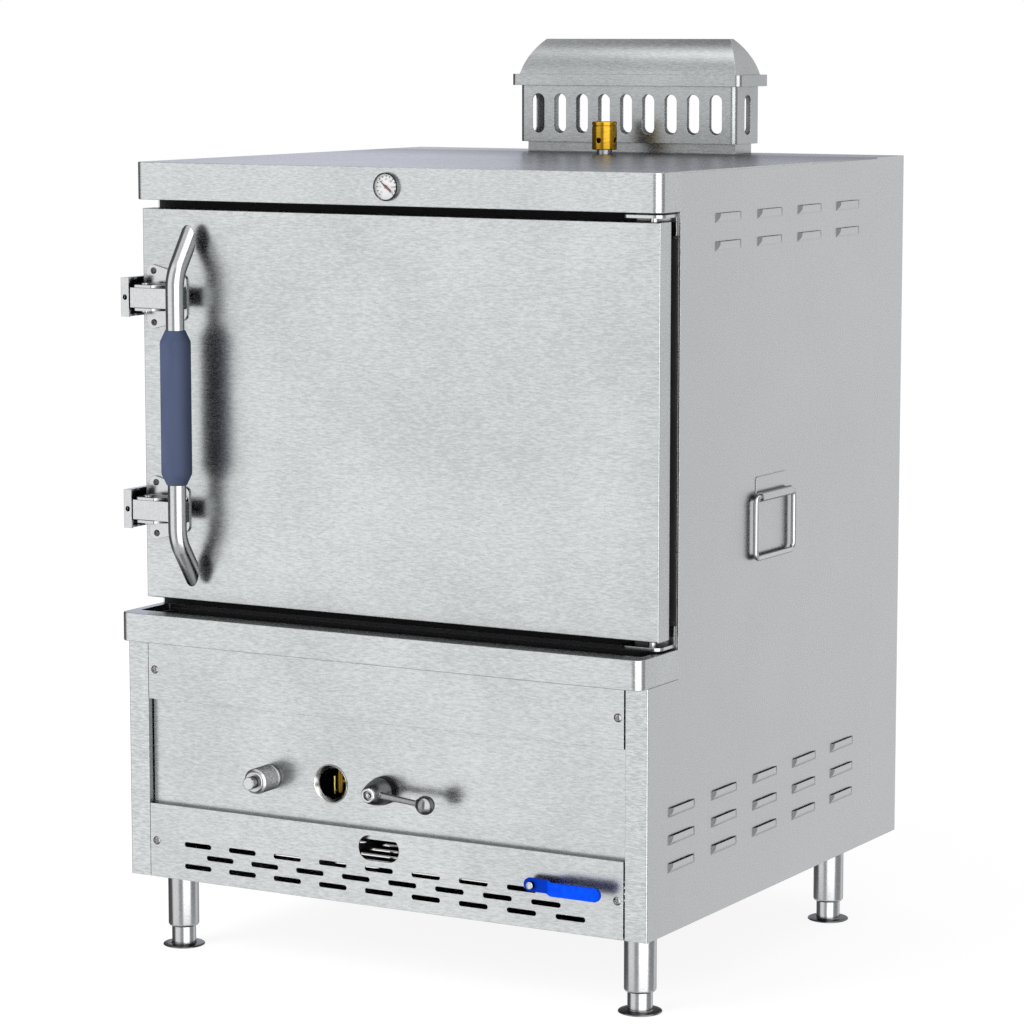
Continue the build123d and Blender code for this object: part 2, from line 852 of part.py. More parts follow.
def gas_valve_body():
    """Brass gas cock behind the control panel, bored for the lever's stem."""
    bore = past((panel_back, panel_back + lever_stem_grip))
    return gas_valve_shell() - rod_y((gas_valve_x, control_z), lever_stem_radius + running_gap, bore)


def pilot_burner():
    """Brass pilot behind the sight port, on a small tube from the valve, with its electrode beside it."""
    tube = rod_x((valve_y, control_z), pilot_tube_radius, (sight_x, gas_valve_x))
    post = rod_z((sight_x, valve_y), pilot_radius, span(control_z, pilot_height))
    x = sight_x - electrode_side
    electrode = rod_z((x, valve_y), electrode_radius, span(control_z - electrode_drop, electrode_length))
    arm = rod_x((valve_y, control_z - electrode_drop - electrode_arm_drop), electrode_arm_radius, (x, sight_x))
    return tube + post + electrode + arm - gas_valve_shell()


def sight_port():
    """Short collar through which the pilot flame is seen."""
    y = (panel_front - sight_proud, panel_front + sight_length)
    at = (sight_x, control_z)
    collar = rod_y(at, sight_radius, y)
    return collar - rod_y(at, sight_radius - sight_wall, past(y))


def igniter_body():
    """Knurled push-igniter barrel, bored for its button."""
    at = (igniter_x, control_z)
    points = []
    for i in range(2 * igniter_knurls):
        radius = igniter_radius - igniter_knurl_depth * (i % 2)
        turn = pi * i / igniter_knurls
        points.append((radius * cos(turn), radius * sin(turn)))
    knurl = extrude(make_face(Polyline(*points, close=True)), amount=igniter_length)
    body = Pos(igniter_x, panel_front, control_z) * Rot(90, 0, 0) * knurl
    nose = (panel_front - igniter_length - igniter_nose_length, panel_front - igniter_length)
    body += rod_y(at, igniter_nose_radius, nose)
    body += rod_y(at, igniter_tail_radius, (panel_front, panel_front + igniter_tail_length))
    bore = past((nose[0], nose[0] + button_shaft_length + button_travel))
    return body - rod_y(at, button_shaft_radius + running_gap, bore)


def igniter_button():
    """Button with a rounded tip and a guide shaft."""
    at = (igniter_x, control_z)
    nose = panel_front - igniter_length - igniter_nose_length
    tip = panel_front - igniter_reach
    root = nose - button_travel - seal_gap
    cap = rod_y(at, button_radius, (tip, root))
    rim = cap.edges().filter_by(GeomType.CIRCLE).group_by(Axis.Y)[0]
    cap = fillet(rim, edge_round)
    return cap + rod_y(at, button_shaft_radius, (root, nose + button_shaft_length))


def gas_lever():
    """Turned hub on its stem, with the tapered rod that carries the knob."""
    at = (gas_valve_x, control_z)
    back = panel_front - lever_hub_gap
    wide = (lever_hub_radius, 0)
    tip = (lever_hub_tip_radius, lever_hub_length)
    bulge = (lever_hub_bulge_shares[0] * lever_hub_radius, lever_hub_bulge_shares[1] * lever_hub_length)
    section = Polyline(wide, (0, 0), (0, lever_hub_length), tip) + ThreePointArc(tip, bulge, wide)
    hub = Pos(gas_valve_x, back, control_z) * Rot(90, 0, 0) * revolve(Plane.XZ * make_face(section), Axis.Z)
    hub += rod_y(at, lever_stem_radius, (back, panel_back + lever_stem_grip))
    return hub + gas_lever_rod()


def gas_lever_rod():
    """The rod from the hub's axis into the knob."""
    start = gas_lever_root()
    along = gas_lever_knob_centre() - start
    length = along.length - lever_knob_radius + lever_knob_socket
    place = Plane(origin=start, z_dir=along) * Pos(0, 0, length / 2)
    return place * Cone(lever_rod_radius, lever_rod_tip_radius, length)


def gas_lever_root():
    """Point on the hub's axis where the rod starts."""
    return Vector(gas_valve_x, panel_front - lever_rod_back, control_z)


def gas_lever_knob_centre():
    """Centre of the ball knob."""
    return gas_lever_root() + Vector(lever_rod_reach, -lever_rod_lean, -lever_rod_droop)


def gas_lever_knob():
    """Polished ball on the rod's end."""
    centre = gas_lever_knob_centre()
    return Pos(centre.X, centre.Y, centre.Z) * Sphere(lever_knob_radius) - gas_lever_rod()


def drain_lever():
    """Cranked flat lever: a hub by the panel, a step towards the front, and a round-ended handle."""
    back = base_front - drain_lever_gap
    front = back - drain_lever_wall
    step = drain_lever_step
    bend = drain_x + drain_lever_bend
    out = bend + drain_lever_step_run
    end = drain_x + drain_lever_reach
    tail = drain_x - drain_lever_tail
    outline = [(tail, front), (bend, front), (out, front - step), (end, front - step),
               (end, back - step), (out, back - step), (bend, back), (tail, back)]
    blade = plan_prism(outline, span(drain_z, drain_lever_width))
    middle = (tail + end) / 2
    shape = slot_through_y((middle, drain_z), end - tail, drain_lever_width, past((front - step, back)))
    return (blade & shape) - rod_y((drain_x, drain_z), drain_stem_radius, past((front, back)))


def drain_stem():
    """Long valve stem with the round cap that holds the lever on."""
    front = base_front - drain_lever_gap - drain_lever_wall
    valve_face = drain_y - drain_valve_size / 2
    stem = rod_y((drain_x, drain_z), drain_stem_radius, (front, valve_face + drain_stem_grip))
    return stem + rod_y((drain_x, drain_z), drain_cap_radius, (front - drain_cap_height, front))


def drain_valve_body():
    """Ball valve in the drain line, bored for its stem, with the outlet below the base."""
    size = span(0, drain_valve_size)
    z = span(drain_z, drain_valve_height)
    body = block((drain_x + size[0], drain_x + size[1]), (drain_y + size[0], drain_y + size[1]), z)
    body += rod_z((drain_x, drain_y), drain_neck_radius, (underside, z[0]))
    body += rod_z((drain_x, drain_y), drain_pipe_radius, (underside - drain_outlet_length, underside))
    bore = drain_pipe_radius - drain_pipe_wall
    body -= rod_z((drain_x, drain_y), bore, (underside - drain_outlet_length - overrun, z[0]))
    front = drain_y + size[0]
    stem_hole = past((front, front + drain_stem_grip))
    return body - rod_y((drain_x, drain_z), drain_stem_radius + running_gap, stem_hole)


def drain_pipe():
    """Pipe from the water pan straight down to the drain valve."""
    z = (drain_z + drain_valve_height / 2, pan_low)
    pipe = rod_z((drain_x, drain_y), drain_pipe_radius, z)
    return pipe - rod_z((drain_x, drain_y), drain_pipe_radius - drain_pipe_wall, past(z))


def water_inlet():
    """Make-up water pipe from the rear stub to the pan."""
    at = (water_x, water_z)
    y = (pan_front + pan_depth, rear)
    run = rod_y(at, pipe_run_radius, y) - rod_y(at, pipe_radius - pipe_wall, past(y))
    return run + inlet_stub_tube(at)


def leg_places():
    """Leg axes by name."""
    x = half - leg_side_inset
    front = base_front + leg_front_setback
    back = seam - leg_rear_setback
    return {
        "front_left": (-x, front),
        "front_right": (x, front),
        "rear_left": (-x, back),
        "rear_right": (x, back),
    }


def leg_tubes():
    """Thick tubes under the base floor."""
    bore = foot_neck_radius + running_gap
    tubes = []
    for at in leg_places().values():
        z = (underside - leg_tube_length, underside)
        tubes.append(rod_z(at, leg_radius, z) - rod_z(at, bore, past(z)))
    return tubes


def screw_foot(at):
    """Flanged foot whose neck runs up into the leg tube."""
    neck_top = underside - leg_tube_length + foot_neck_grip
    flange = rod_z(at, foot_flange_radius, (0, foot_flange_height))
    rim = flange.edges().filter_by(GeomType.CIRCLE).group_by(Axis.Z)[-1]
    flange = fillet(rim, edge_round)
    return flange + rod_z(at, foot_neck_radius, (foot_flange_height, neck_top))


def flue_riser():
    """Rectangular collar on the duct's top."""
    z = (top, box_low)
    collar = block(span(0, riser_width), span(flue_y, riser_depth), z)
    hole = (riser_width - 2 * flue_wall, riser_depth - 2 * flue_wall)
    return collar - block(span(0, hole[0]), span(flue_y, hole[1]), past(z))


def flue_box():
    """Slotted outlet box with rounded corners, up to the underside of the cap."""
    z = (box_low, skirt_top - flue_wall)
    centre = (0, flue_y)
    inner = (flue_box_width - 2 * flue_wall, flue_box_depth - 2 * flue_wall)
    box = rounded_prism((flue_box_width, flue_box_depth), flue_corner, centre, z)
    box -= rounded_prism(inner, flue_corner - flue_wall, centre, (z[0] + flue_wall, z[1] + overrun))
    hole = (riser_width - 2 * flue_wall, riser_depth - 2 * flue_wall)
    box -= block(span(0, hole[0]), span(flue_y, hole[1]), past((z[0], z[0] + flue_wall)))
    slot_z = box_low + flue_slot_rise
    through_y = past(span(flue_y, flue_box_depth))
    through_x = past(span(0, flue_box_width))
    cuts = [slot_through_y((x, slot_z), flue_slot_length, flue_slot_width, through_y, turn=90)
            for x in evenly(flue_slots, flue_slot_pitch)]
    cuts.append(slot_through_x((flue_y, slot_z), flue_slot_length, flue_slot_width, through_x))
    return box - cuts


def hip_section(length, rise, run):
    """Outline of the hipped roof seen square on: curved sides up to a flat ridge."""
    foot = length / 2
    ridge = foot - run
    bulge = (foot - dome_bulge_shares[0] * run, dome_bulge_shares[1] * rise)
    outline = Polyline((ridge, rise), (-ridge, rise))
    outline += ThreePointArc((-ridge, rise), (-bulge[0], bulge[1]), (-foot, 0))
    outline += Polyline((-foot, 0), (foot, 0))
    return make_face(outline + ThreePointArc((foot, 0), bulge, (ridge, rise)))


def hip_roof(length, depth, rise, low):
    """The hipped roof: where its long and its short section meet."""
    long = extrude(Plane.XZ * hip_section(length, rise, dome_end_run), amount=depth / 2, both=True)
    short = extrude(Plane.YZ * hip_section(depth, rise, dome_run), amount=length / 2, both=True)
    return Pos(0, flue_y, low) * (long & short)


def flue_cap():
    """Sheet roof of the flue on a deep skirt, open to the box below."""
    centre = (0, flue_y)
    inner = (skirt_width - 2 * flue_wall, skirt_depth - 2 * flue_wall)
    cap = rounded_prism((skirt_width, skirt_depth), flue_corner, centre, (skirt_low, skirt_top))
    cap -= rounded_prism(inner, flue_corner - flue_wall, centre, (skirt_low - overrun, skirt_top - flue_wall))
    cap += hip_roof(flue_box_width, flue_box_depth, dome_rise, skirt_top)
    mouth = (flue_box_width - 2 * flue_wall, flue_box_depth - 2 * flue_wall)
    cap -= rounded_prism(mouth, flue_corner - flue_wall, centre, (skirt_low, skirt_top))
    return cap - hip_roof(*mouth, dome_rise - flue_wall, skirt_top - tolerance)


def relief_seat():
    """Steel seat through the top sheet, with its pipe down into the chamber."""
    at = (0, relief_y)
    seat = rod_z(at, relief_seat_radius, (chamber_top + liner_wall, top + relief_seat_rise))
    seat += rod_z(at, relief_pipe_radius, (chamber_top, chamber_top + liner_wall))
    bore = rod_z(at, relief_pipe_bore, (chamber_top - overrun, top - sheet - relief_guide_length))
    guide = past((top - sheet - relief_guide_length, top + relief_seat_rise))
    return seat - bore - rod_z(at, relief_guide_radius + running_gap, guide)


def relief_weight():
    """Brass weight with side vents, a grooved head and a guide pin in the seat."""
    at = (0, relief_y)
    low = top + relief_seat_rise
    high = low + relief_height
    weight = rod_z(at, relief_radius, (low, high))
    weight = fillet(weight.edges().filter_by(GeomType.CIRCLE), edge_round)
    groove_z = span(high - relief_groove_drop, 2 * relief_groove)
    groove = rod_z(at, relief_radius + overrun, groove_z) - rod_z(at, relief_radius - relief_groove, groove_z)
    weight -= groove
    vent_z = low + relief_hole_rise
    through = past(span(0, 2 * relief_radius))
    weight -= rod_x((relief_y, vent_z), relief_hole_radius, through)
    weight -= rod_y((0, vent_z), relief_hole_radius, (relief_y + through[0], relief_y + through[1]))
    return weight + rod_z(at, relief_guide_radius, (low - relief_guide_length + relief_seat_rise, low))


def probe(radius):
    """Bent rod from the dial case back and down into the chamber."""
    back = header_front + dial_body_length
    low = chamber_top - probe_dip
    path = FilletPolyline((0, back, dial_z), (0, probe_y, dial_z), (0, probe_y, low), radius=probe_bend)
    return sweep(Plane(path @ 0, z_dir=path % 0) * Circle(radius), path=path)


def thermometer_case():
    """Dial case in the header with its bezel, and the probe that dips into the chamber."""
    at = (0, dial_z)
    bezel = rod_y(at, dial_radius, (dial_front, header_front))
    bezel = fillet(bezel.edges().filter_by(GeomType.CIRCLE).group_by(Axis.Y)[0], edge_round)
    case = bezel + rod_y(at, dial_body_radius, (header_front, header_front + dial_body_length))
    case -= rod_y(at, dial_radius - dial_lip, (dial_front - overrun, dial_floor))
    case += probe(probe_radius)
    pin_hole = (dial_floor - overrun, dial_floor + pointer_pin_length)
    return case - rod_y(at, pointer_pin_radius + running_gap, pin_hole)


def thermometer_dial():
    """White dial plate."""
    at = (0, dial_z)
    y = (dial_floor - dial_wall, dial_floor)
    plate = rod_y(at, dial_radius - dial_lip, y)
    return plate - rod_y(at, pointer_pin_radius + running_gap, past(y))


def thermometer_lens():
    """Glass held by the bezel."""
    front = dial_front + edge_round / 2
    return rod_y((0, dial_z), dial_radius - dial_lip, (front, front + lens_wall))


def thermometer_pointer():
    """Red pointer with its hub and pivot pin."""
    at = (0, dial_z)
    back = dial_floor - dial_wall - pointer_lift
    y = (back - pointer_wall, back)
    hub = rod_y(at, pointer_hub_radius, y)
    w = pointer_width / 2
    points = [(-pointer_length, 0), (0, -w), (pointer_tail, -w), (pointer_tail, w), (0, w)]
    blade = extrude(make_face(Polyline(*points, close=True)), amount=pointer_wall)
    blade = Pos(0, back, dial_z) * Rot(0, pointer_tilt, 0) * Rot(90, 0, 0) * blade
    return hub + blade + rod_y(at, pointer_pin_radius, (back, dial_floor + pointer_pin_length - running_gap))


def hinge_pin_spans():
    """Heights of the lower and the upper hinge pin."""
    lower = (door_low - hinge_strap_gap - hinge_strap_wall, door_low + hinge_pin_grip)
    upper = (door_top - hinge_pin_grip, door_top + hinge_strap_top_gap + hinge_strap_wall)
    return (lower, upper)


def hinge_pins():
    """Steel pivots let into the door's ends."""
    return [rod_z((pin_x, pin_y), hinge_pin_radius, z) for z in hinge_pin_spans()]


def door_filling(y):
    """The space inside the outer door pan, between two depths."""
    side = door_half - door_wall
    return block((-side, side), y, (door_low + door_wall, door_top - door_wall))


def door_skin():
    """Outer door pan, folded back round all four edges."""
    skin = block((-door_half, door_half), (door_front, door_back), (door_low, door_top))
    skin = fillet(skin.edges().group_by(Axis.Y)[0], edge_round)
    return skin - door_filling((door_front + door_wall, door_back + overrun)) - hinge_pins()


def door_inner_pan():
    """Flat inner sheet let into the back of the outer pan."""
    return door_filling((door_back - door_back_wall, door_back))


def door_insulation():
    """Mineral wool slab inside the door."""
    return door_filling((door_front + door_wall, door_back - door_back_wall)) - hinge_pins()


def door_gasket():
    """Rubber frame on the door's back that seals on the face."""
    side = door_half - gasket_inset
    low = door_low + gasket_top_inset
    high = door_top - gasket_top_inset
    y = (door_back, face - face_seal_depth - seal_gap)
    frame = block((-side, side), y, (low, high))
    frame = fillet(edges_along(frame, Axis.X, y=y[1]) + edges_along(frame, Axis.Z, y=y[1]), edge_round)
    inside = side - gasket_width
    return frame - block((-inside, inside), past(y), (low + gasket_width, high - gasket_width))


def hinge_brackets():
    """Flat straps that carry the door's pins, each with a tab on the casing front."""
    right = door_half + hinge_strap_side
    lower, upper = hinge_pin_spans()
    lower_z = (lower[0], lower[0] + hinge_strap_wall)
    upper_z = (upper[1] - hinge_strap_wall, upper[1])
    lower_tab = (lower_z[0], lower_z[1] + hinge_tab_height)
    upper_tab = (upper_z[0] - hinge_tab_height, upper_z[1])
    straps = []
    for z, tab in ((lower_z, lower_tab), (upper_z, upper_tab)):
        strap = block((right - hinge_strap_width, right), (pin_y - hinge_strap_front, face), z)
        strap = fillet(strap.edges().filter_by(Axis.Z).group_by(Axis.Y)[0], hinge_strap_corner)
        strap += block((right - hinge_tab_width, right), (face - hinge_tab_wall, face), tab)
        straps.append(strap - rod_z((pin_x, pin_y), hinge_pin_radius + running_gap, past(z)))
    return straps


def ear_spans(z):
    """Heights of the two ears round an arm at height z."""
    inner = arm_height / 2 + ear_gap
    return ((z - inner - ear_wall, z - inner), (z + inner, z + inner + ear_wall))


def latch_bases():
    """Tapered plates screwed to the door, each with two ears for the latch pin."""
    bases = []
    left = latch_plate_left - door_half
    right = latch_plate_right - door_half
    plate_y = (door_front - latch_plate_wall, door_front)
    for z in latch_heights:
        tall = latch_plate_tall / 2
        short = latch_plate_short / 2
        outline = Polyline((left, -tall), (right, -short), (right, short), (left, tall), close=True)
        plate = fillet(make_face(outline).vertices(), latch_plate_corner)
        base = Pos(0, door_front, z) * Rot(90, 0, 0) * extrude(plate, amount=latch_plate_wall)
        points = [(latch_x - ear_left, plate_y[0]), (latch_x - ear_left, latch_y - ear_front),
                  (latch_x + ear_flat, latch_y - ear_front), (latch_x + ear_slope, plate_y[0])]
        for ear_z in ear_spans(z):
            ear = plan_prism(points, ear_z)
            ear = fillet(edges_along(ear, Axis.Z, y=latch_y - ear_front), ear_corner)
            base += ear
        low, high = ear_spans(z)
        bases.append(base - rod_z((latch_x, latch_y), latch_pin_radius, past((low[0], high[1]))))
    return bases


def latch_pins():
    """Pins through the ears, headed at both ends."""
    pins = []
    for z in latch_heights:
        low, high = ear_spans(z)
        pin = rod_z((latch_x, latch_y), latch_pin_radius, (low[0], high[1]))
        for head in ((low[0] - latch_pin_head, low[0]), (high[1], high[1] + latch_pin_head)):
            pin += rod_z((latch_x, latch_y), latch_pin_head_radius, head)
        pins.append(pin)
    return pins


def latch_screws():
    """Button-head screws of the latch plates."""
    screws = []
    front = door_front - latch_plate_wall
    for z in latch_heights:
        for sign in (-1, 1):
            at = (latch_screw_side - door_half, z + sign * latch_screw_rise)
            head = rod_y(at, latch_screw_radius, (front - latch_screw_height, front))
            rim = head.edges().filter_by(GeomType.CIRCLE).group_by(Axis.Y)[0]
            screws.append(fillet(rim, latch_screw_height / 2))
    return screws


def latch_arms():
    """Flat arms from the latch pins to the handle, each with a nose beside its keeper."""
    arms = []
    front = latch_y - arm_front
    back = latch_y + arm_back
    nose = latch_x - arm_nose
    seat = handle_radius / 2
    front_edge = [(nose, front), (latch_x + arm_front_run, front), (handle_x - seat, handle_y)]
    back_edge = [(handle_x + seat, handle_y), (latch_x + arm_back_run, back), (nose, back)]
    for z in latch_heights:
        ends = span(z, arm_height)
        arm = plan_prism(front_edge + back_edge, ends)
        arm -= rod_z((handle_x, handle_y), handle_radius, past(ends))
        arms.append(arm - rod_z((latch_x, latch_y), latch_pin_radius + running_gap, past(ends)))
    return arms


def handle_tube():
    """Upright tube handle, bent back towards the door at both ends and cut slantwise there."""
    low = door_low + handle_low
    high = door_top - handle_high_drop
    back = handle_y + handle_run_on_share * handle_end_back
    rise = handle_run_on_share * handle_end_rise
    path = FilletPolyline((handle_x, back, low - rise), (handle_x, handle_y, low), (handle_x, handle_y, high),
                          (handle_x, back, high + rise), radius=handle_bend)
    tube = tube_along(path, handle_radius, handle_wall)
    lean = radians(handle_cut_angle)
    for z, sign in ((low - handle_end_rise, -1), (high + handle_end_rise, 1)):
        cut = Plane(origin=(handle_x, handle_y + handle_end_back, z), z_dir=(0, cos(lean), sign * sin(lean)))
        tube = split(tube, bisect_by=cut, keep=Keep.BOTTOM)
    return tube


def handle_grip():
    """Rubber sleeve with coned ends on the tube."""
    low = door_low + grip_low
    high = door_top - grip_high_drop
    at = (handle_x, handle_y)
    grip = rod_z(at, grip_radius, (low + grip_cone, high - grip_cone))
    grip += Pos(handle_x, handle_y, low + grip_cone / 2) * Cone(grip_end_radius, grip_radius, grip_cone)
    grip += Pos(handle_x, handle_y, high - grip_cone / 2) * Cone(grip_radius, grip_end_radius, grip_cone)
    return grip - rod_z(at, handle_radius, past((low, high)))


def keeper_brackets():
    """Channels on the left side that reach past the door's edge, with a lip beside each arm's nose."""
    outer = -half - keeper_stand
    front = face - keeper_front
    y = (front, face + keeper_back)
    brackets = []
    for z in latch_heights:
        low, high = span(z, keeper_height)
        keeper = block((outer, outer + keeper_wall), y, (low, high))
        keeper += block((outer, outer + keeper_lip), (front, front + keeper_wall), (low, high))
        for edge in ((low, low + keeper_wall), (high - keeper_wall, high)):
            keeper += block((outer, -half), y, edge)
        keeper += block((-half - keeper_pad, -half), (face, face + keeper_back), (low, high))
        hole_x = outer + keeper_lip / 2
        keeper -= rod_y((hole_x, z), keeper_hole_radius, past((front, front + keeper_wall)))
        brackets.append(keeper)
    return brackets


def side_handle_plate():
    """Right-hand plate with the rolled barrel that carries the ring."""
    y = span(ring_y, ring_plate_width)
    z = (ring_z - ring_plate_below, ring_z + ring_plate_above)
    plate = block((half, half + ring_plate_wall), y, z)
    plate = fillet(plate.edges().filter_by(Axis.X), ring_plate_corner)
    barrel_y = span(ring_y, ring_barrel_length)
    plate += rod_y((ring_x, ring_z), ring_barrel_radius, barrel_y)
    plate += block((half, ring_x), barrel_y, span(ring_z, ring_barrel_radius))
    return plate - rod_y((ring_x, ring_z), ring_wire_radius + running_gap, past(barrel_y))


def ring_handle():
    """Right-hand wire ring, hanging from its barrel."""
    y = span(ring_y, ring_width)
    z = (ring_z - ring_drop, ring_z)
    corners = [(ring_x, y[1], z[1]), (ring_x, y[1], z[0]), (ring_x, y[0], z[0]), (ring_x, y[0], z[1])]
    path = FilletPolyline(*corners, radius=ring_bend, close=True)
    return sweep(Plane(path @ 0, z_dir=path % 0) * Circle(ring_wire_radius), path=path)


def mirrored(shape):
    """The same shape on the other side of the cabinet."""
    return mirror(shape, about=Plane.YZ)


nodes = {
    "left_side_panel": mirrored(side_panel()),
    "right_side_panel": side_panel(),
    "top_cover": top_cover(),
    "rear_cover": rear_cover(),
    "chamber_liner": chamber_liner(),
    "insulation_blanket": insulation_blanket(),
    "face_seal": face_seal(),
    "shelf_rails": shelf_rails(),
    "steam_shelves": steam_shelves(),
    "drip_gutter": drip_gutter(),
    "strip_panel": strip_panel(),
    "control_panel": control_panel(),
    "slotted_panel": slotted_panel(),
    "panel_screws": panel_screws(),
    "base_floor": base_floor(),
    "water_pan": water_pan(),
    "burner": burner(),
    "gas_pipe": gas_pipe(),
    "gas_valve_body": gas_valve_body(),
    "pilot_burner": pilot_burner(),
    "sight_port": sight_port(),
    "igniter_body": igniter_body(),
    "igniter_button": igniter_button(),
    "gas_lever": gas_lever(),
    "gas_lever_knob": gas_lever_knob(),
    "drain_lever": drain_lever(),
    "drain_stem": drain_stem(),
    "drain_valve_body": drain_valve_body(),
    "drain_pipe": drain_pipe(),
    "water_inlet": water_inlet(),
    "leg_tubes": leg_tubes(),
    "flue_riser": flue_riser(),
    "flue_box": flue_box(),
    "flue_cap": flue_cap(),
    "relief_seat": relief_seat(),
    "relief_weight": relief_weight(),
    "thermometer_case": thermometer_case(),
    "thermometer_dial": thermometer_dial(),
    "thermometer_lens": thermometer_lens(),
    "thermometer_pointer": thermometer_pointer(),
    "hinge_pins": hinge_pins(),
    "door_skin": door_skin(),
    "door_inner_pan": door_inner_pan(),
    "door_insulation": door_insulation(),
    "door_gasket": door_gasket(),
    "hinge_brackets": hinge_brackets(),
    "latch_bases": latch_bases(),
    "latch_pins": latch_pins(),
    "latch_screws": latch_screws(),
    "latch_arms": latch_arms(),
    "handle_tube": handle_tube(),
    "handle_grip": handle_grip(),
    "keeper_brackets": keeper_brackets(),
    "side_handle_plates": [side_handle_plate(), mirrored(side_handle_plate())],
    "right_ring_handle": ring_handle(),
    "left_ring_handle": mirrored(ring_handle()),
}
for name, at in leg_places().items():
    nodes[f"{name}_foot"] = screw_foot(at)

os.makedirs("parts", exist_ok=True)
for name, shape in nodes.items():
    solids = shape if isinstance(shape, list) else shape.solids()
    export_step(Compound(children=list(solids)) if len(solids) > 1 else solids[0], f"parts/{name}.step")
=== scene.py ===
"""Steam cabinet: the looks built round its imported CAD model, and the white studio it stands in."""
import math

import bmesh
import bpy
from mathutils import Matrix, Vector


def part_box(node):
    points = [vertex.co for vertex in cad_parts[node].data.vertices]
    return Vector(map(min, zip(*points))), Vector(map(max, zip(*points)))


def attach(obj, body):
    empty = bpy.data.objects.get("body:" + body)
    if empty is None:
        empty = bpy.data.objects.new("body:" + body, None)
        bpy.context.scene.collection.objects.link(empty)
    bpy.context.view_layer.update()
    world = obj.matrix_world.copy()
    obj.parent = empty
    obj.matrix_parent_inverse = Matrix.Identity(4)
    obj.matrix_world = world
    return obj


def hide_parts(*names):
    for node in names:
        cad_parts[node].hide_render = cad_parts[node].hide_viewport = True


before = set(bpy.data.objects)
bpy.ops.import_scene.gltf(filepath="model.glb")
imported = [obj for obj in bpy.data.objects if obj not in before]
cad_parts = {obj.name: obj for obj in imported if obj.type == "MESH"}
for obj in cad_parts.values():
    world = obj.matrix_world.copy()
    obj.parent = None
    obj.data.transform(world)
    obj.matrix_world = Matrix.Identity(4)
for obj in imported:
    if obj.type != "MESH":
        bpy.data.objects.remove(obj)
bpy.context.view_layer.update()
scene = bpy.context.scene
scene.view_settings.view_transform = "Standard"

# Camera: a long lens a little above the cabinet's middle and to its right, as the
# perspective of the photograph gives it.
camera_down = 7.476
camera_left = 29.726
camera = bpy.data.objects.new("camera", bpy.data.cameras.new("camera"))
camera.location = (2.3823, -4.1974, 1.1962)
camera.rotation_euler = (math.radians(90 - camera_down), 0, math.radians(camera_left))
camera.data.sensor_width = 36
camera.data.lens = 128.95
scene.collection.objects.link(camera)
scene.camera = camera


# World: plain white wherever it is seen, directly, mirrored or through the glass, and dimmer as a
# lamp, so that painted and rubber pieces keep their own colours.
class Tone:
    """A value in a node tree. Operators make math nodes, and node() makes any other."""

    def __init__(self, tree, socket=None):
        self.tree = tree
        self.socket = socket

    def node(self, kind, settings=None, output=0, **values):
        made = self.tree.nodes.new(kind)
        for name, setting in (settings or {}).items():
            setattr(made, name, setting)
        for name, value in values.items():
            spot = made.inputs[int(name[1:]) if name[1:].isdigit() else name.replace("_", " ")]
            if isinstance(value, Tone):
                self.tree.links.new(value.socket, spot)
            else:
                spot.default_value = value
        return Tone(self.tree, made.outputs[output] if made.outputs else None)

    def math(self, operation, first, second):
        return self.node("ShaderNodeMath", {"operation": operation}, v0=first, v1=second)

    def __add__(self, other):
        return self.math("ADD", self, other)

    def __radd__(self, other):
        return self.math("ADD", other, self)

    def __sub__(self, other):
        return self.math("SUBTRACT", self, other)

    def __rsub__(self, other):
        return self.math("SUBTRACT", other, self)

    def __mul__(self, other):
        return self.math("MULTIPLY", self, other)

    def __rmul__(self, other):
        return self.math("MULTIPLY", other, self)

    def fade(self, start, end, low=0.0, high=1.0):
        return self.node("ShaderNodeMapRange", {"interpolation_type": "SMOOTHSTEP"},
                         v0=self, v1=start, v2=end, v3=low, v4=high)

    def mix(self, first, second):
        return self.node("ShaderNodeMix", {"data_type": "RGBA"}, 2, v0=self, v6=first, v7=second)

    def bump(self, depth, **values):
        return self.node("ShaderNodeBump", None, "Normal", Strength=1.0, Distance=depth,
                         Height=self, **values)

    def place(self, axis):
        spot = self.node("ShaderNodeTexCoord", None, "Object")
        return self.node("ShaderNodeSeparateXYZ", None, axis, Vector=spot)

    def grain(self, scale, detail=2.0):
        spot = self.node("ShaderNodeTexCoord", None, "Object")
        spot = self.node("ShaderNodeVectorMath", {"operation": "MULTIPLY"}, v0=spot, v1=scale)
        return self.node("ShaderNodeTexNoise", None, "Fac", Vector=spot, Scale=1.0, Detail=detail)


lamp_level = 0.5
world = bpy.data.worlds.new("studio")
world.use_nodes = True
world.node_tree.nodes.clear()
scene.world = world
sky = Tone(world.node_tree)
seen = sky.node("ShaderNodeLightPath", None, "Is Camera Ray")
mirrored = sky.node("ShaderNodeLightPath", None, "Is Glossy Ray")
through = sky.node("ShaderNodeLightPath", None, "Is Transmission Ray")
shown = seen.math("MAXIMUM", seen, mirrored)
shown = shown.math("MAXIMUM", shown, through)
light = sky.node("ShaderNodeBackground", Color=(1, 1, 1, 1), Strength=shown * (1 - lamp_level) + lamp_level)
sky.node("ShaderNodeOutputWorld", Surface=light)

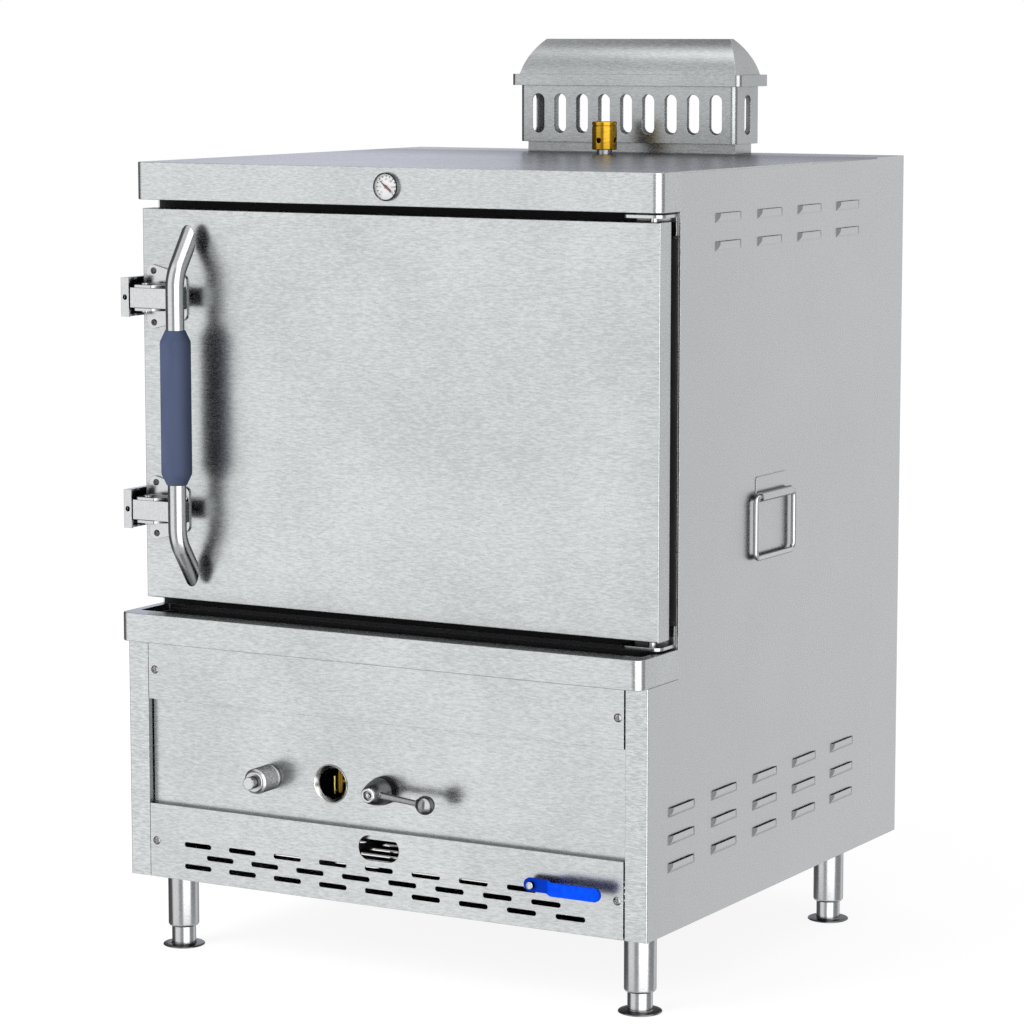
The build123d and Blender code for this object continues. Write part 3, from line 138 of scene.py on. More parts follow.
# Floor: white studio paper just under the feet, so bright of its own that only the shade close to
# them shows.
floor_size = 8.0
floor_drop = 0.0005
floor_glow = 0.75
glow_strength = 1.2
mesh = bmesh.new()
bmesh.ops.create_grid(mesh, x_segments=1, y_segments=1, size=floor_size)
bmesh.ops.translate(mesh, verts=mesh.verts, vec=(0, 0, -floor_drop))
data = bpy.data.meshes.new("studio_floor")
mesh.to_mesh(data)
mesh.free()
paper = bpy.data.materials.new("studio_paper")
paper.use_nodes = True
paper.node_tree.nodes.clear()
tone = Tone(paper.node_tree)
glow = tone.node("ShaderNodeEmission", Color=(1, 1, 1, 1), Strength=glow_strength)
matt = tone.node("ShaderNodeBsdfDiffuse", Color=(0.9, 0.9, 0.9, 1))
both = tone.node("ShaderNodeMixShader", v0=floor_glow, v1=matt, v2=glow)
tone.node("ShaderNodeOutputMaterial", Surface=both)
data.materials.append(paper)
studio_floor = bpy.data.objects.new("studio_floor", data)
studio_floor.visible_glossy = False
scene.collection.objects.link(studio_floor)

# Studio cards: a ball of white, grey and dark cards that only the steel mirrors. Their level follows
# the bearing in degrees from the front towards the right, in steps of bearing, width of the soft edge
# and new level, and then the height; what is mirrored again is dimmer.
card_radius = 3.4
card_first = 0.44
card_steps = ((-150, 13, 0.72), (-133, 5, 0.10), (-57, 9, 1.02), (-8, 14, 0.40), (22, 4, 2.0),
              (82, 6, 0.33), (134, 12, 0.77), (168, 10, 0.44))
slope_left, slope_right, slope_rear_loss = 0.66, 1.8, 0.6
crown_front, crown_rear, crown_rear_right = 2.1, 0.2, 1.2
low_level, floor_level = 0.6, 0.08
mirrored_twice, mirrored_thrice, mirrored_dull = 0.35, 0.25, 0.15
rear_tint = (0.93, 0.945, 1.07, 1)
mesh = bmesh.new()
bmesh.ops.create_uvsphere(mesh, u_segments=48, v_segments=24, radius=card_radius)
data = bpy.data.meshes.new("studio_cards")
mesh.to_mesh(data)
mesh.free()
card = bpy.data.materials.new("studio_card")
card.use_nodes = True
card.cycles.emission_sampling = "NONE"
card.node_tree.nodes.clear()
tone = Tone(card.node_tree)
bearing = tone.math("ARCTAN2", tone.place("X"), -1 * tone.place("Y")) * (180 / math.pi)
level = card_first
for turn, width, new_level in card_steps:
    step = bearing.fade(turn - width / 2, turn + width / 2)
    level = level + step * (new_level - level)
height = tone.place("Z") * (1 / card_radius)
slope = bearing.fade(-10, 20, slope_left, slope_right) - bearing.fade(85, 110, 0.0, slope_rear_loss)
crown = tone.place("Y").fade(-0.6, 0.3, crown_front, crown_rear)
crown = crown + bearing.fade(100, 125) * height.fade(0.99, 0.96) * (crown_rear_right - crown)
card_bands = ((0.74, 0.86, slope), (0.9, 0.955, crown), (-0.34, -0.62, low_level),
              (-0.74, -0.94, floor_level))
for start, end, new_level in card_bands:
    level = level + height.fade(start, end) * (new_level - level)
again = tone.node("ShaderNodeLightPath", None, "Glossy Depth")
dulled = tone.node("ShaderNodeLightPath", None, "Diffuse Depth")
level = level * again.fade(1.4, 1.6, 1.0, mirrored_twice) * again.fade(2.4, 2.6, 1.0, mirrored_thrice)
level = level * dulled.fade(0.4, 0.6, 1.0, mirrored_dull)
tint = bearing.fade(-120, -135).mix((1, 1, 1, 1), rear_tint)
tone.node("ShaderNodeOutputMaterial", Surface=tone.node("ShaderNodeEmission", Color=tint, Strength=level))
data.materials.append(card)
studio_cards = bpy.data.objects.new("studio_cards", data)
studio_cards.visible_camera = False
studio_cards.visible_diffuse = False
studio_cards.visible_transmission = False
studio_cards.visible_shadow = False
scene.collection.objects.link(studio_cards)

# Key lamp: a large soft box high on the left, aimed at the cabinet's middle. It lights the painted
# and rubber pieces and makes the floor's shade.
key_aim = Vector((0, 0, 0.6))
key = bpy.data.objects.new("key_lamp", bpy.data.lights.new("key_lamp", "AREA"))
key.data.energy = 110
key.data.size = 2.5
key.location = (-1.6, -3.6, 2.6)
key.rotation_euler = (key_aim - key.location).to_track_quat("-Z", "Y").to_euler()
key.visible_glossy = False
scene.collection.objects.link(key)


# Casing fronts: the three front panels and the door's skin, of brushed stainless sheet. The brush
# runs across the cabinet.
def finish(name, paint):
    """A material whose Principled inputs paint() gives."""
    material = bpy.data.materials.new(name)
    material.use_nodes = True
    material.node_tree.nodes.clear()
    tone = Tone(material.node_tree)
    tone.node("ShaderNodeOutputMaterial", Surface=tone.node("ShaderNodeBsdfPrincipled", **paint(tone)))
    return material


def metal(name, dark, light, roughness, scale, depth, edge=0.0009, stain=None):
    """Worn metal with a grain of that scale, and edges that catch the light."""
    def paint(tone):
        streak = tone.grain(scale, 3.0)
        cloud = tone.grain((7, 7, 7))
        rounded = tone.node("ShaderNodeBevel", {"samples": 4}, "Normal", Radius=edge)
        normal = streak.bump(depth, Normal=rounded)
        colour = (streak * 0.75 + cloud * 0.25).fade(0.25, 0.75).mix((*dark, 1), (*light, 1))
        return {"Base_Color": stain(tone, colour) if stain else colour, "Metallic": 1.0,
                "Roughness": roughness - 0.04 + streak * 0.08, "Normal": normal}
    return finish(name, paint)


def dress(material, *names):
    """Gives CAD pieces their material."""
    for name in names:
        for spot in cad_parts[name].material_slots:
            spot.material = material


sheet_dark, sheet_light = (0.50, 0.52, 0.528), (0.77, 0.79, 0.797)
sheet_roughness = 0.27
brush_grain = (130, 800, 800)
brush_depth = 0.00003
brushed = (sheet_dark, sheet_light, sheet_roughness, brush_grain, brush_depth)
dress(metal("brushed_casing_steel", *brushed), "strip_panel", "control_panel", "slotted_panel", "door_skin")

# Flue: riser, slotted box and domed cap of the same brushed sheet, folded and spot-welded, its colour
# made a little darker as painted shade.
# A darker copy of the brushed sheet: painted shade.
flue_steel = metal("shade_darkened_flue_steel", (0.40, 0.415, 0.42), (0.62, 0.64, 0.645), sheet_roughness,
                   brush_grain, brush_depth)
dress(flue_steel, "flue_riser", "flue_box", "flue_cap")


# Drip gutter: brushed sheet folded to a broad rim round a trough, which is painted dark as the shade
# in its recess. The dark begins on a line at the rim's inner edge.
trough_half = 0.3665
trough_front = -0.3545
trough_edge = 0.001
trough_shade_tint = (0.10, 0.10, 0.105, 1)


# Painted shade: the trough inside the rim's inner edge is darkened.
def trough_painted_shade(tone, colour):
    side = tone.place("X")
    inside = side.fade(-trough_half - trough_edge, -trough_half + trough_edge)
    inside = inside * side.fade(trough_half + trough_edge, trough_half - trough_edge)
    inside = inside * tone.place("Y").fade(trough_front - trough_edge, trough_front + trough_edge)
    return inside.mix(colour, trough_shade_tint)


dress(metal("brushed_gutter_steel", *brushed, stain=trough_painted_shade), "drip_gutter")


# Casing sides and back: the same stainless sheet with a finer, even finish, louvred and bent round
# the base as posts, which are brushed as the fronts are, and the plates of the ring handles on it.
post_back = -0.359
post_edge = 0.002


def brushed_post(tone, colour):
    streak = tone.grain(brush_grain, 3.0).fade(0.25, 0.75)
    streak = streak.mix((*sheet_dark, 1), (*sheet_light, 1))
    return tone.place("Y").fade(post_back - post_edge, post_back + post_edge).mix(streak, colour)


side_steel = metal("satin_side_steel", (0.60, 0.618, 0.632), (0.67, 0.688, 0.70), sheet_roughness,
                   (130, 420, 600), 0.00001, stain=brushed_post)
dress(side_steel, "left_side_panel", "right_side_panel", "rear_cover", "side_handle_plates")


# Top cover: one sheet with the header folded down at its front, brushed as the fronts are and
# darkened towards the flue with painted shade.
top_shade_start, top_shade_end = 0.02, 0.30
top_shade_tint = (0.34, 0.34, 0.36, 1)


# Painted shade: darker from the middle back towards the flue.
def top_shade_towards_flue(tone, colour):
    return tone.place("Y").fade(top_shade_start, top_shade_end).mix(colour, top_shade_tint)


dress(metal("shade_painted_top_steel", *brushed, stain=top_shade_towards_flue), "top_cover")

# Inside sheets: chamber, door pan, rails, shelves, water pan and base floor of plain mill-finish
# stainless steel, duller than the casing, welded and laid in.
inner_steel = metal("mill_finish_steel", (0.46, 0.46, 0.45), (0.58, 0.58, 0.57), 0.36,
                    (300, 300, 300), 0.00003)
dress(inner_steel, "chamber_liner", "door_inner_pan", "shelf_rails", "steam_shelves", "water_pan",
      "base_floor")


# Insulation: yellow-grey mineral wool blankets, laid between casing and chamber and packed in the
# door.
def wool_paint(tone):
    fibre = tone.grain((900, 900, 900), 4.0)
    tuft = tone.grain((60, 60, 60))
    shade = (fibre * 0.6 + tuft * 0.4).fade(0.3, 0.7)
    return {"Base_Color": shade.mix((0.34, 0.30, 0.17, 1), (0.60, 0.55, 0.36, 1)),
            "Roughness": 0.95, "Normal": (fibre + tuft).bump(0.0015)}


dress(finish("mineral_wool", wool_paint), "insulation_blanket", "door_insulation")

# Burner and lines: a cast-iron ring burner, a brass gas cock, a brass pilot whose post is painted dark
# as shade beside its electrode, painted bright as a highlight, and dull steel pipe.
burner_iron = metal("cast_iron", (0.045, 0.043, 0.042), (0.10, 0.095, 0.09), 0.6, (250, 250, 250), 0.0004)
dress(burner_iron, "burner")
brass_dark, brass_light = (0.70, 0.44, 0.07), (0.90, 0.62, 0.14)
turned_grain = (120, 120, 900)
brass = metal("turned_brass", brass_dark, brass_light, 0.32, turned_grain, 0.00003)
dress(brass, "gas_valve_body")
electrode_end = -0.0845
electrode_edge = 0.001
electrode_highlight_tint, pilot_shade_tint = (1.0, 0.84, 0.30, 1), (0.26, 0.15, 0.02, 1)


# Painted highlight on the electrode, painted shade on the post beside it.
def pilot_highlight_and_shade(tone, colour):
    post = tone.place("X").fade(electrode_end - electrode_edge, electrode_end + electrode_edge)
    return post.mix(electrode_highlight_tint, pilot_shade_tint)


pilot_brass = metal("highlight_and_shade_painted_brass", brass_dark, brass_light, 0.3, turned_grain, 0.00003, stain=pilot_highlight_and_shade)
dress(pilot_brass, "pilot_burner")
pipe_steel = metal("pipe_steel", (0.30, 0.30, 0.29), (0.44, 0.44, 0.43), 0.38, (200, 200, 200), 0.00008)
dress(pipe_steel, "gas_pipe", "drain_pipe", "water_inlet", "drain_valve_body")

# Bright fittings that keep their CAD shape: hinge straps and pins, latch plates and arms, the handle
# tube, keepers, ring handles and relief seat, of polished stainless steel.
bright_steel = metal("polished_steel", (0.62, 0.63, 0.64), (0.72, 0.73, 0.74), 0.17,
                     (300, 300, 300), 0.000008)
dress(bright_steel, "hinge_pins", "hinge_brackets", "latch_bases", "latch_pins", "latch_arms",
      "handle_tube", "keeper_brackets", "left_ring_handle", "right_ring_handle", "relief_seat")


# Seals: black rubber strips on the casing's face and the door's back, soft and dusty, which close the
# gaps round the door. The strip on the casing's face is black as painted shade in the gap.
def seal_and_gap_shade_paint(tone):
    speck = tone.grain((1500, 1500, 1500))
    dust = tone.grain((40, 40, 40), 3.0)
    return {"Base_Color": dust.fade(0.35, 0.8).mix((0.008, 0.008, 0.008, 1), (0.02, 0.02, 0.02, 1)),
            "Roughness": 0.6 + dust * 0.2, "Normal": speck.bump(0.00008)}


# The face seal's black stands for the shade in the gap round the door.
dress(finish("black_rubber", seal_and_gap_shade_paint), "face_seal", "door_gasket")


# Legs: four thick stainless tubes under the base floor, with a well rounded lower lip. Each is
# turned from one wall profile and satin polished.
weld = 1e-6
smooth_angle, bevel_angle = math.radians(35), math.radians(40)


def lathe(mesh, profile, origin, axis=(0, 0, 1), steps=48, closed=False):
    """Spins (radius, distance along the axis) points, in millimetres, round an axis from origin."""
    before = set(mesh.verts)
    line = [mesh.verts.new((radius / 1000, 0, along / 1000)) for radius, along in profile]
    pairs = list(zip(line, line[1:])) + ([(line[-1], line[0])] if closed else [])
    edges = [mesh.edges.new(pair) for pair in pairs]
    bmesh.ops.spin(mesh, geom=line + edges, cent=(0, 0, 0), axis=(0, 0, 1), angle=2 * math.pi,
                   steps=steps, use_merge=True)
    turn = Vector((0, 0, 1)).rotation_difference(Vector(axis)).to_matrix().to_4x4()
    bmesh.ops.transform(mesh, matrix=Matrix.Translation(origin) @ turn,
                        verts=[vert for vert in mesh.verts if vert not in before])


def fit_piece(mesh, name, material, body, slot, *stands_for, rounding=0.0):
    """Finishes a mesh as a named piece of the cabinet that stands for CAD nodes."""
    bmesh.ops.remove_doubles(mesh, verts=mesh.verts, dist=weld)
    bmesh.ops.recalc_face_normals(mesh, faces=mesh.faces)
    data = bpy.data.meshes.new(name)
    mesh.to_mesh(data)
    mesh.free()
    data.shade_smooth()
    data.set_sharp_from_angle(angle=smooth_angle)
    data.materials.append(material)
    piece = bpy.data.objects.new(name, data)
    scene.collection.objects.link(piece)
    if rounding:
        soft = piece.modifiers.new("rounded_edges", "BEVEL")
        soft.width = rounding / 1000
        soft.segments = 3
        soft.limit_method = "ANGLE"
        soft.angle_limit = bevel_angle
        soft.harden_normals = True
    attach(piece, body)
    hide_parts(*stands_for)
    return piece


leg_steel = metal("satin_leg_steel", (0.52, 0.53, 0.54), (0.66, 0.67, 0.68), 0.22, (300, 300, 900), 0.00001)
feet = ("front_left_foot", "front_right_foot", "rear_left_foot", "rear_right_foot")
leg_low, leg_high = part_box("leg_tubes")
tall = (leg_high.z - leg_low.z) * 1000
mesh = bmesh.new()
for foot in feet:
    low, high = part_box(foot)
    lathe(mesh, [(16.6, 0), (17.4, 0.1), (18.7, 0.8), (19.7, 2.1), (20.2, 3.8), (20.2, tall), (15.85, tall),
                 (15.85, 0.8)],
          ((low.x + high.x) / 2, (low.y + high.y) / 2, leg_low.z), steps=64, closed=True)
fit_piece(mesh, "leg_tubes_turned", leg_steel, "cabinet", "bright_steel", "leg_tubes")

# Feet: stainless screw feet, each a stem in its leg over a thin wide flange, turned in one. The flange
# is painted dark as shade.
foot_steel = metal("shade_painted_flange", (0.17, 0.17, 0.17), (0.34, 0.34, 0.34), 0.3,
                   (200, 200, 200), 0.00004)
flange_top = 0.003
for foot in feet:
    low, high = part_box(foot)
    tall = (high.z - low.z) * 1000
    mesh = bmesh.new()
    lathe(mesh, [(0, 0), (26.7, 0), (27.4, 0.5), (27.5, 1.1), (27.1, 1.8), (26.3, 2.2), (17, 2.2),
                 (15.8, 3.2), (15.8, tall), (0, tall)],
          ((low.x + high.x) / 2, (low.y + high.y) / 2, low.z), steps=64)
    # The flange's faces take the dark steel: painted shade.
    for face in mesh.faces:
        face.material_index = 1 if face.calc_center_median().z < low.z + flange_top else 0
    flanged = fit_piece(mesh, foot + "_turned", leg_steel, foot, "bright_steel", foot)
    flanged.data.materials.append(foot_steel)

# Igniter barrel: a bright push-igniter body with a square-cut knurl between two smooth rings, a
# chamfered nose and a tail behind the panel.
knurled_steel = metal("knurled_steel", (0.54, 0.545, 0.55), (0.70, 0.705, 0.71), 0.3,
                      (300, 900, 300), 0.00002)
forward, backward = (0, -1, 0), (0, 1, 0)
panel_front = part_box("control_panel")[0].y
low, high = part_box("igniter_body")
igniter = Vector(((low.x + high.x) / 2, panel_front, (low.z + high.z) / 2))
knurl_rows, knurl_columns = 17, 60
knurl_start, knurl_run, knurl_radius = 5, 28, 15.9
knurl_tooth = 0.0006
mesh = bmesh.new()
lathe(mesh, [(knurl_radius, knurl_start + knurl_run * i / knurl_rows) for i in range(knurl_rows + 1)],
      igniter, forward, steps=knurl_columns)
bmesh.ops.remove_doubles(mesh, verts=mesh.verts, dist=weld)
bmesh.ops.recalc_face_normals(mesh, faces=mesh.faces)
bmesh.ops.poke(mesh, faces=mesh.faces[:], offset=knurl_tooth)
lathe(mesh, [(0, 0), (15.7, 0), (16.4, 0.7), (16.4, 4.2), (15.4, 5.2), (0, 5.2)], igniter, forward)
lathe(mesh, [(7.15, 32.8), (15.5, 32.8), (16.4, 33.6), (16.4, 34.8), (13.6, 37.2), (13.4, 38.6),
             (12.4, 39.8), (7.9, 39.8), (7.15, 39)], igniter, forward, closed=True)
lathe(mesh, [(0, -38), (8, -38), (9, -37), (9, -1), (0, -1)], igniter, forward)
fit_piece(mesh, "igniter_barrel", knurled_steel, "cabinet", "bright_steel", "igniter_body")

# Igniter button: a polished steel cap with a dished, rounded end, turned in one with the shaft that
# guides it in the barrel.
low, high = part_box("igniter_button")
tip = Vector((igniter.x, low.y, igniter.z))
tall = (high.y - low.y) * 1000
mesh = bmesh.new()
lathe(mesh, [(0, 0.5), (5.6, 0.3), (7, 0), (7.9, 0.5), (8.2, 1.4), (8.2, 5.2), (7.6, 5.7), (7, 5.7),
             (7, tall), (0, tall)], tip, backward)
fit_piece(mesh, "igniter_cap", bright_steel, "igniter_button", "bright_steel", "igniter_button")

# Sight port: a stainless collar with a rolled rim and a short cone inside it, set in the control
# panel and open to the pilot behind it.
low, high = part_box("sight_port")
sight = Vector(((low.x + high.x) / 2, low.y, (low.z + high.z) / 2))
collar_steel = metal("satin_collar_steel", (0.66, 0.66, 0.64), (0.76, 0.76, 0.74), 0.24,
                     (200, 200, 200), 0.00002)
mesh = bmesh.new()
lathe(mesh, [(19.7, 7.2), (19.7, 6.4), (20, 5.6), (23.4, 1.1), (23.9, 0.3), (24.4, 0), (24.8, 0.4),
             (25, 1.2), (25, 11.5), (22.6, 11.5), (22.6, 7.2)], sight, backward, steps=64, closed=True)
fit_piece(mesh, "sight_collar", collar_steel, "cabinet", "bright_steel", "sight_port")

# Gas lever: a bell-shaped steel hub on the cock's stem over a collar painted black as shade, with a screw
# sunk in its end, painted bright as a highlight, and a tapered rod screwed across it that carries the knob.
knob_low, knob_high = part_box("gas_lever_knob")
knob = (knob_low + knob_high) / 2
hub_across, hub_gap, rod_out = 0.002, 0.0005, 0.025
shade_collar_end, highlight_start = 0.0072, 0.0385
hub = Vector((hub_across, panel_front - hub_gap, igniter.z))
mesh = bmesh.new()
lathe(mesh, [(0, -32), (5, -32), (5, 0), (17.6, 0), (18, 0.6), (18, 7), (16.6, 7.1), (16.6, 7.9),
             (17.4, 8.1), (17.7, 8.8), (16.8, 14.5), (15.5, 21), (13.8, 27.2), (11.8, 33.2), (9.9, 37.6),
             (9.2, 38.6), (8.4, 39.5), (6.4, 39.5), (5.9, 39), (5.7, 36.5), (3.4, 36.5), (3.2, 38.4),
             (2.4, 39), (0, 39.2)], hub, forward)
# Painted shade: the collar's faces go black; painted highlight: the end's faces go bright steel.
for face in mesh.faces:
    along = hub.y - face.calc_center_median().y
    face.material_index = 1 if 0 < along < shade_collar_end else 2 if along > highlight_start else 0
root = hub + Vector((0, -rod_out, 0))
reach = (knob - root).length * 1000
lathe(mesh, [(0, -6.5), (4.2, -6.5), (4.6, -6), (4.6, 12), (4.3, 16), (3.5, reach - 14), (3.4, reach - 6),
             (0, reach - 6)], root, knob - root, steps=32)
fitting_steel = metal("turned_fitting_steel", (0.27, 0.275, 0.28), (0.39, 0.395, 0.40), 0.2,
                      (300, 900, 300), 0.00002)
# Black paint that stands for shade, on the lever's collar and the drain cap's side.
black_shade_paint = metal("black_shade_paint", (0.012, 0.012, 0.013), (0.035, 0.035, 0.036), 0.35,
                    (500, 500, 500), 0.00002)
lever = fit_piece(mesh, "gas_lever_turned", fitting_steel, "gas_lever", "bright_steel", "gas_lever")
lever.data.materials.append(black_shade_paint)
lever.data.materials.append(bright_steel)

# Lever knob: a turned steel ball with a short collar where the rod enters, screwed on to the rod's
# end.
ball_radius = 0.012
mesh = bmesh.new()
bmesh.ops.create_uvsphere(mesh, u_segments=48, v_segments=24, radius=ball_radius,
                          matrix=Matrix.Translation(knob))
lathe(mesh, [(3.5, -13), (5.2, -13), (5.8, -12.4), (5.8, -10), (3.5, -10)], knob, knob - root, closed=True)
fit_piece(mesh, "lever_ball", fitting_steel, "gas_lever", "bright_steel", "gas_lever_knob")


# Drain lever: a flat steel lever with round ends, cranked forward and dipped in blue vinyl with soft
# edges, with painted shade darkening it at its hub.
hub_shade_end = 0.252
hub_shade_edge = 0.006


def vinyl_paint(tone):
    dip = tone.grain((90, 90, 90), 3.0)
    colour = dip.fade(0.3, 0.7).mix((0.0, 0.062, 0.76, 1), (0.0, 0.088, 0.95, 1))
    # Painted shade: the hub end is a darker blue than the blade.
    blade = tone.place("X").fade(hub_shade_end - hub_shade_edge, hub_shade_end + hub_shade_edge)
    return {"Base_Color": blade.mix((0.0, 0.034, 0.44, 1), colour), "Roughness": 0.3 + dip * 0.08,
            "Specular_IOR_Level": 0.05, "Normal": dip.bump(0.0002)}


low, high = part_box("drain_lever")
crank_start = low.x + 0.029
crank_run = 0.017
crank_cuts = 8
blade_wall = 0.004
tall = high.z - low.z
mesh = bmesh.new()
bmesh.ops.create_grid(mesh, x_segments=1, y_segments=1, size=0.5)
bmesh.ops.scale(mesh, verts=mesh.verts, vec=(high.x - low.x, tall, 1))
bmesh.ops.bevel(mesh, geom=mesh.verts[:], offset=tall * 0.499, segments=12, profile=0.5,
                affect="VERTICES", material=-1)
bmesh.ops.rotate(mesh, verts=mesh.verts, matrix=Matrix.Rotation(math.radians(90), 3, "X"))
bmesh.ops.translate(mesh, verts=mesh.verts, vec=((low.x + high.x) / 2, high.y, (low.z + high.z) / 2))
for i in range(crank_cuts + 1):
    cut = crank_start + crank_run * i / crank_cuts
    bmesh.ops.bisect_plane(mesh, geom=mesh.verts[:] + mesh.edges[:] + mesh.faces[:], plane_co=(cut, 0, 0),
                           plane_no=(1, 0, 0))
front = bmesh.ops.extrude_face_region(mesh, geom=mesh.faces[:])
front = [item for item in front["geom"] if isinstance(item, bmesh.types.BMVert)]
bmesh.ops.translate(mesh, verts=front, vec=(0, -blade_wall, 0))
for vert in mesh.verts:
    share = min(max((vert.co.x - crank_start) / crank_run, 0), 1)
    vert.co.y -= (high.y - low.y - blade_wall) * share * share * (3 - 2 * share)
fit_piece(mesh, "drain_lever_sleeved", finish("blue_vinyl", vinyl_paint), "drain_lever", "lever_sleeve",
          "drain_lever", rounding=1.3)

# Drain stem: the cock's long steel stem with a round cap over the lever, its side painted black as
# shade and its end bright steel.
low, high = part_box("drain_stem")
stem = Vector(((low.x + high.x) / 2, low.y, (low.z + high.z) / 2))
tall = (high.y - low.y) * 1000
cap_shade_start, cap_shade_end = 0.001, 0.0055
mesh = bmesh.new()
lathe(mesh, [(0, 0.3), (3.2, 0.3), (3.9, 0), (4.6, 0.5), (4.8, 1.2), (4.8, 6), (4, 6), (4, tall),
             (0, tall)], stem, backward, steps=32)
# The cap's side faces take the black paint that stands for shade.
for face in mesh.faces:
    face.material_index = 1 if cap_shade_start < face.calc_center_median().y - low.y < cap_shade_end else 0
capped = fit_piece(mesh, "drain_stem_capped", bright_steel, "drain_lever", "bright_steel", "drain_stem")
capped.data.materials.append(black_shade_paint)

# Panel screws: bright pan-head screws with a cross recess, cut into the turned head. They hold the
# removable front panels.
screw_steel = metal("worn_screw_steel", (0.34, 0.34, 0.34), (0.46, 0.46, 0.46), 0.14,
                    (500, 500, 500), 0.00001)
low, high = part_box("panel_screws")
head = 0.0055
recess_half = 0.0024
recess_wide = 0.0007
recess_top, recess_sunk, recess_near = 0.0012, 0.0011, 0.004
mesh = bmesh.new()
for x in (low.x + head, high.x - head):
    for z in (low.z + head, high.z - head):
        lathe(mesh, [(0, 0), (1.6, 0.1), (3.1, 0.5), (4.4, 1.2), (5.2, 2), (5.5, 2.6), (2.5, 2.6),
                     (2.5, 11.6), (0, 11.6)], (x, low.y, z), backward, steps=24)
        bmesh.ops.remove_doubles(mesh, verts=mesh.verts, dist=weld)
        tip = Vector((x, low.y, z))
        for side in (-recess_half, -recess_wide, recess_wide, recess_half):
            for no in ((1, 0, 0), (0, 0, 1)):
                near = [face for face in mesh.faces
                        if (face.calc_center_median() - tip).length < recess_near]
                near += [item for face in near for item in (*face.verts, *face.edges)]
                bmesh.ops.bisect_plane(mesh, geom=list(set(near)), plane_co=(x + side, 0, z + side),
                                       plane_no=no)
        recess = []
        for face in mesh.faces:
            off = face.calc_center_median() - tip
            far, close = max(abs(off.x), abs(off.z)), min(abs(off.x), abs(off.z))
            if off.y < recess_top and far < recess_half and close < recess_wide:
                recess.append(face)
        sunk = bmesh.ops.extrude_face_region(mesh, geom=recess)
        bmesh.ops.delete(mesh, geom=recess, context="FACES_ONLY")
        sunk = [item for item in sunk["geom"] if isinstance(item, bmesh.types.BMVert)]
        bmesh.ops.translate(mesh, verts=sunk, vec=(0, recess_sunk, 0))
fit_piece(mesh, "cross_head_screws", screw_steel, "cabinet", "bright_steel", "panel_screws")

# Latch screws: small dark button-head screws with a socket, two in each latch plate, which they hold
# to the door.
dark_steel = metal("dark_screw_steel", (0.10, 0.10, 0.10), (0.18, 0.18, 0.18), 0.16,
                   (500, 500, 500), 0.00001)
low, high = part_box("latch_screws")
head = 0.0043
pair = 0.0666
mesh = bmesh.new()
for z in (low.z + head, low.z + head + pair, high.z - head - pair, high.z - head):
    lathe(mesh, [(0, 1.3), (1.5, 1.3), (1.5, 0.1), (2.2, 0), (3.4, 0.35), (4.1, 1), (4.3, 1.8), (0, 1.8)],
          ((low.x + high.x) / 2, low.y, z), backward, steps=24)
fit_piece(mesh, "socket_screws", dark_steel, "door", "bright_steel", "latch_screws")


# Handle grip: a matt slate-blue rubber sleeve, pushed on to the handle tube, its ends drawn in to
# cones.
def grip_paint(tone):
    skin = tone.grain((1200, 1200, 1200))
    scuff = tone.grain((30, 30, 12), 4.0)
    return {"Base_Color": scuff.fade(0.35, 0.75).mix((0.050, 0.069, 0.135, 1), (0.068, 0.089, 0.162, 1)),
            "Roughness": 0.55 + scuff * 0.15, "Normal": skin.bump(0.0001)}


low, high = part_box("handle_grip")
tall = (high.z - low.z) * 1000
mesh = bmesh.new()
lathe(mesh, [(11.85, 0), (12.6, 0), (13.2, 0.7), (18.3, 11.6), (19.3, 13.4), (19.7, 16), (19.7, tall - 16),
             (19.3, tall - 13.4), (18.3, tall - 11.6), (13.2, tall - 0.7), (12.6, tall), (11.85, tall)],
      ((low.x + high.x) / 2, (low.y + high.y) / 2, low.z), closed=True)
fit_piece(mesh, "grip_sleeve", finish("slate_rubber", grip_paint), "handle", "grip_rubber", "handle_grip")

# Thermometer case: a steel bezel and body pressed into the header, bright but for the bezel's black
# front.
bezel_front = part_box("thermometer_case")[0].y
black_start, black_end = bezel_front + 0.0006, bezel_front + 0.0012


def black_bezel(tone, colour):
    return tone.place("Y").fade(black_start, black_end).mix((0.02, 0.02, 0.022, 1), colour)


case_steel = metal("thermometer_steel", (0.60, 0.61, 0.62), (0.70, 0.71, 0.72), 0.25,
                   (400, 400, 400), 0.00001, stain=black_bezel)
dress(case_steel, "thermometer_case")


# Thermometer dial: a white enamel disc in its case, with a black scale of long and short ticks and
# plain numbers printed on it.
def coat(name, dark, light, roughness, scale):
    """An even coat of enamel, ink or lacquer with a fine tooth."""
    def paint(tone):
        tooth = tone.grain((scale, scale, scale))
        return {"Base_Color": tooth.mix((*dark, 1), (*light, 1)), "Roughness": roughness + tooth * 0.1}
    return finish(name, paint)


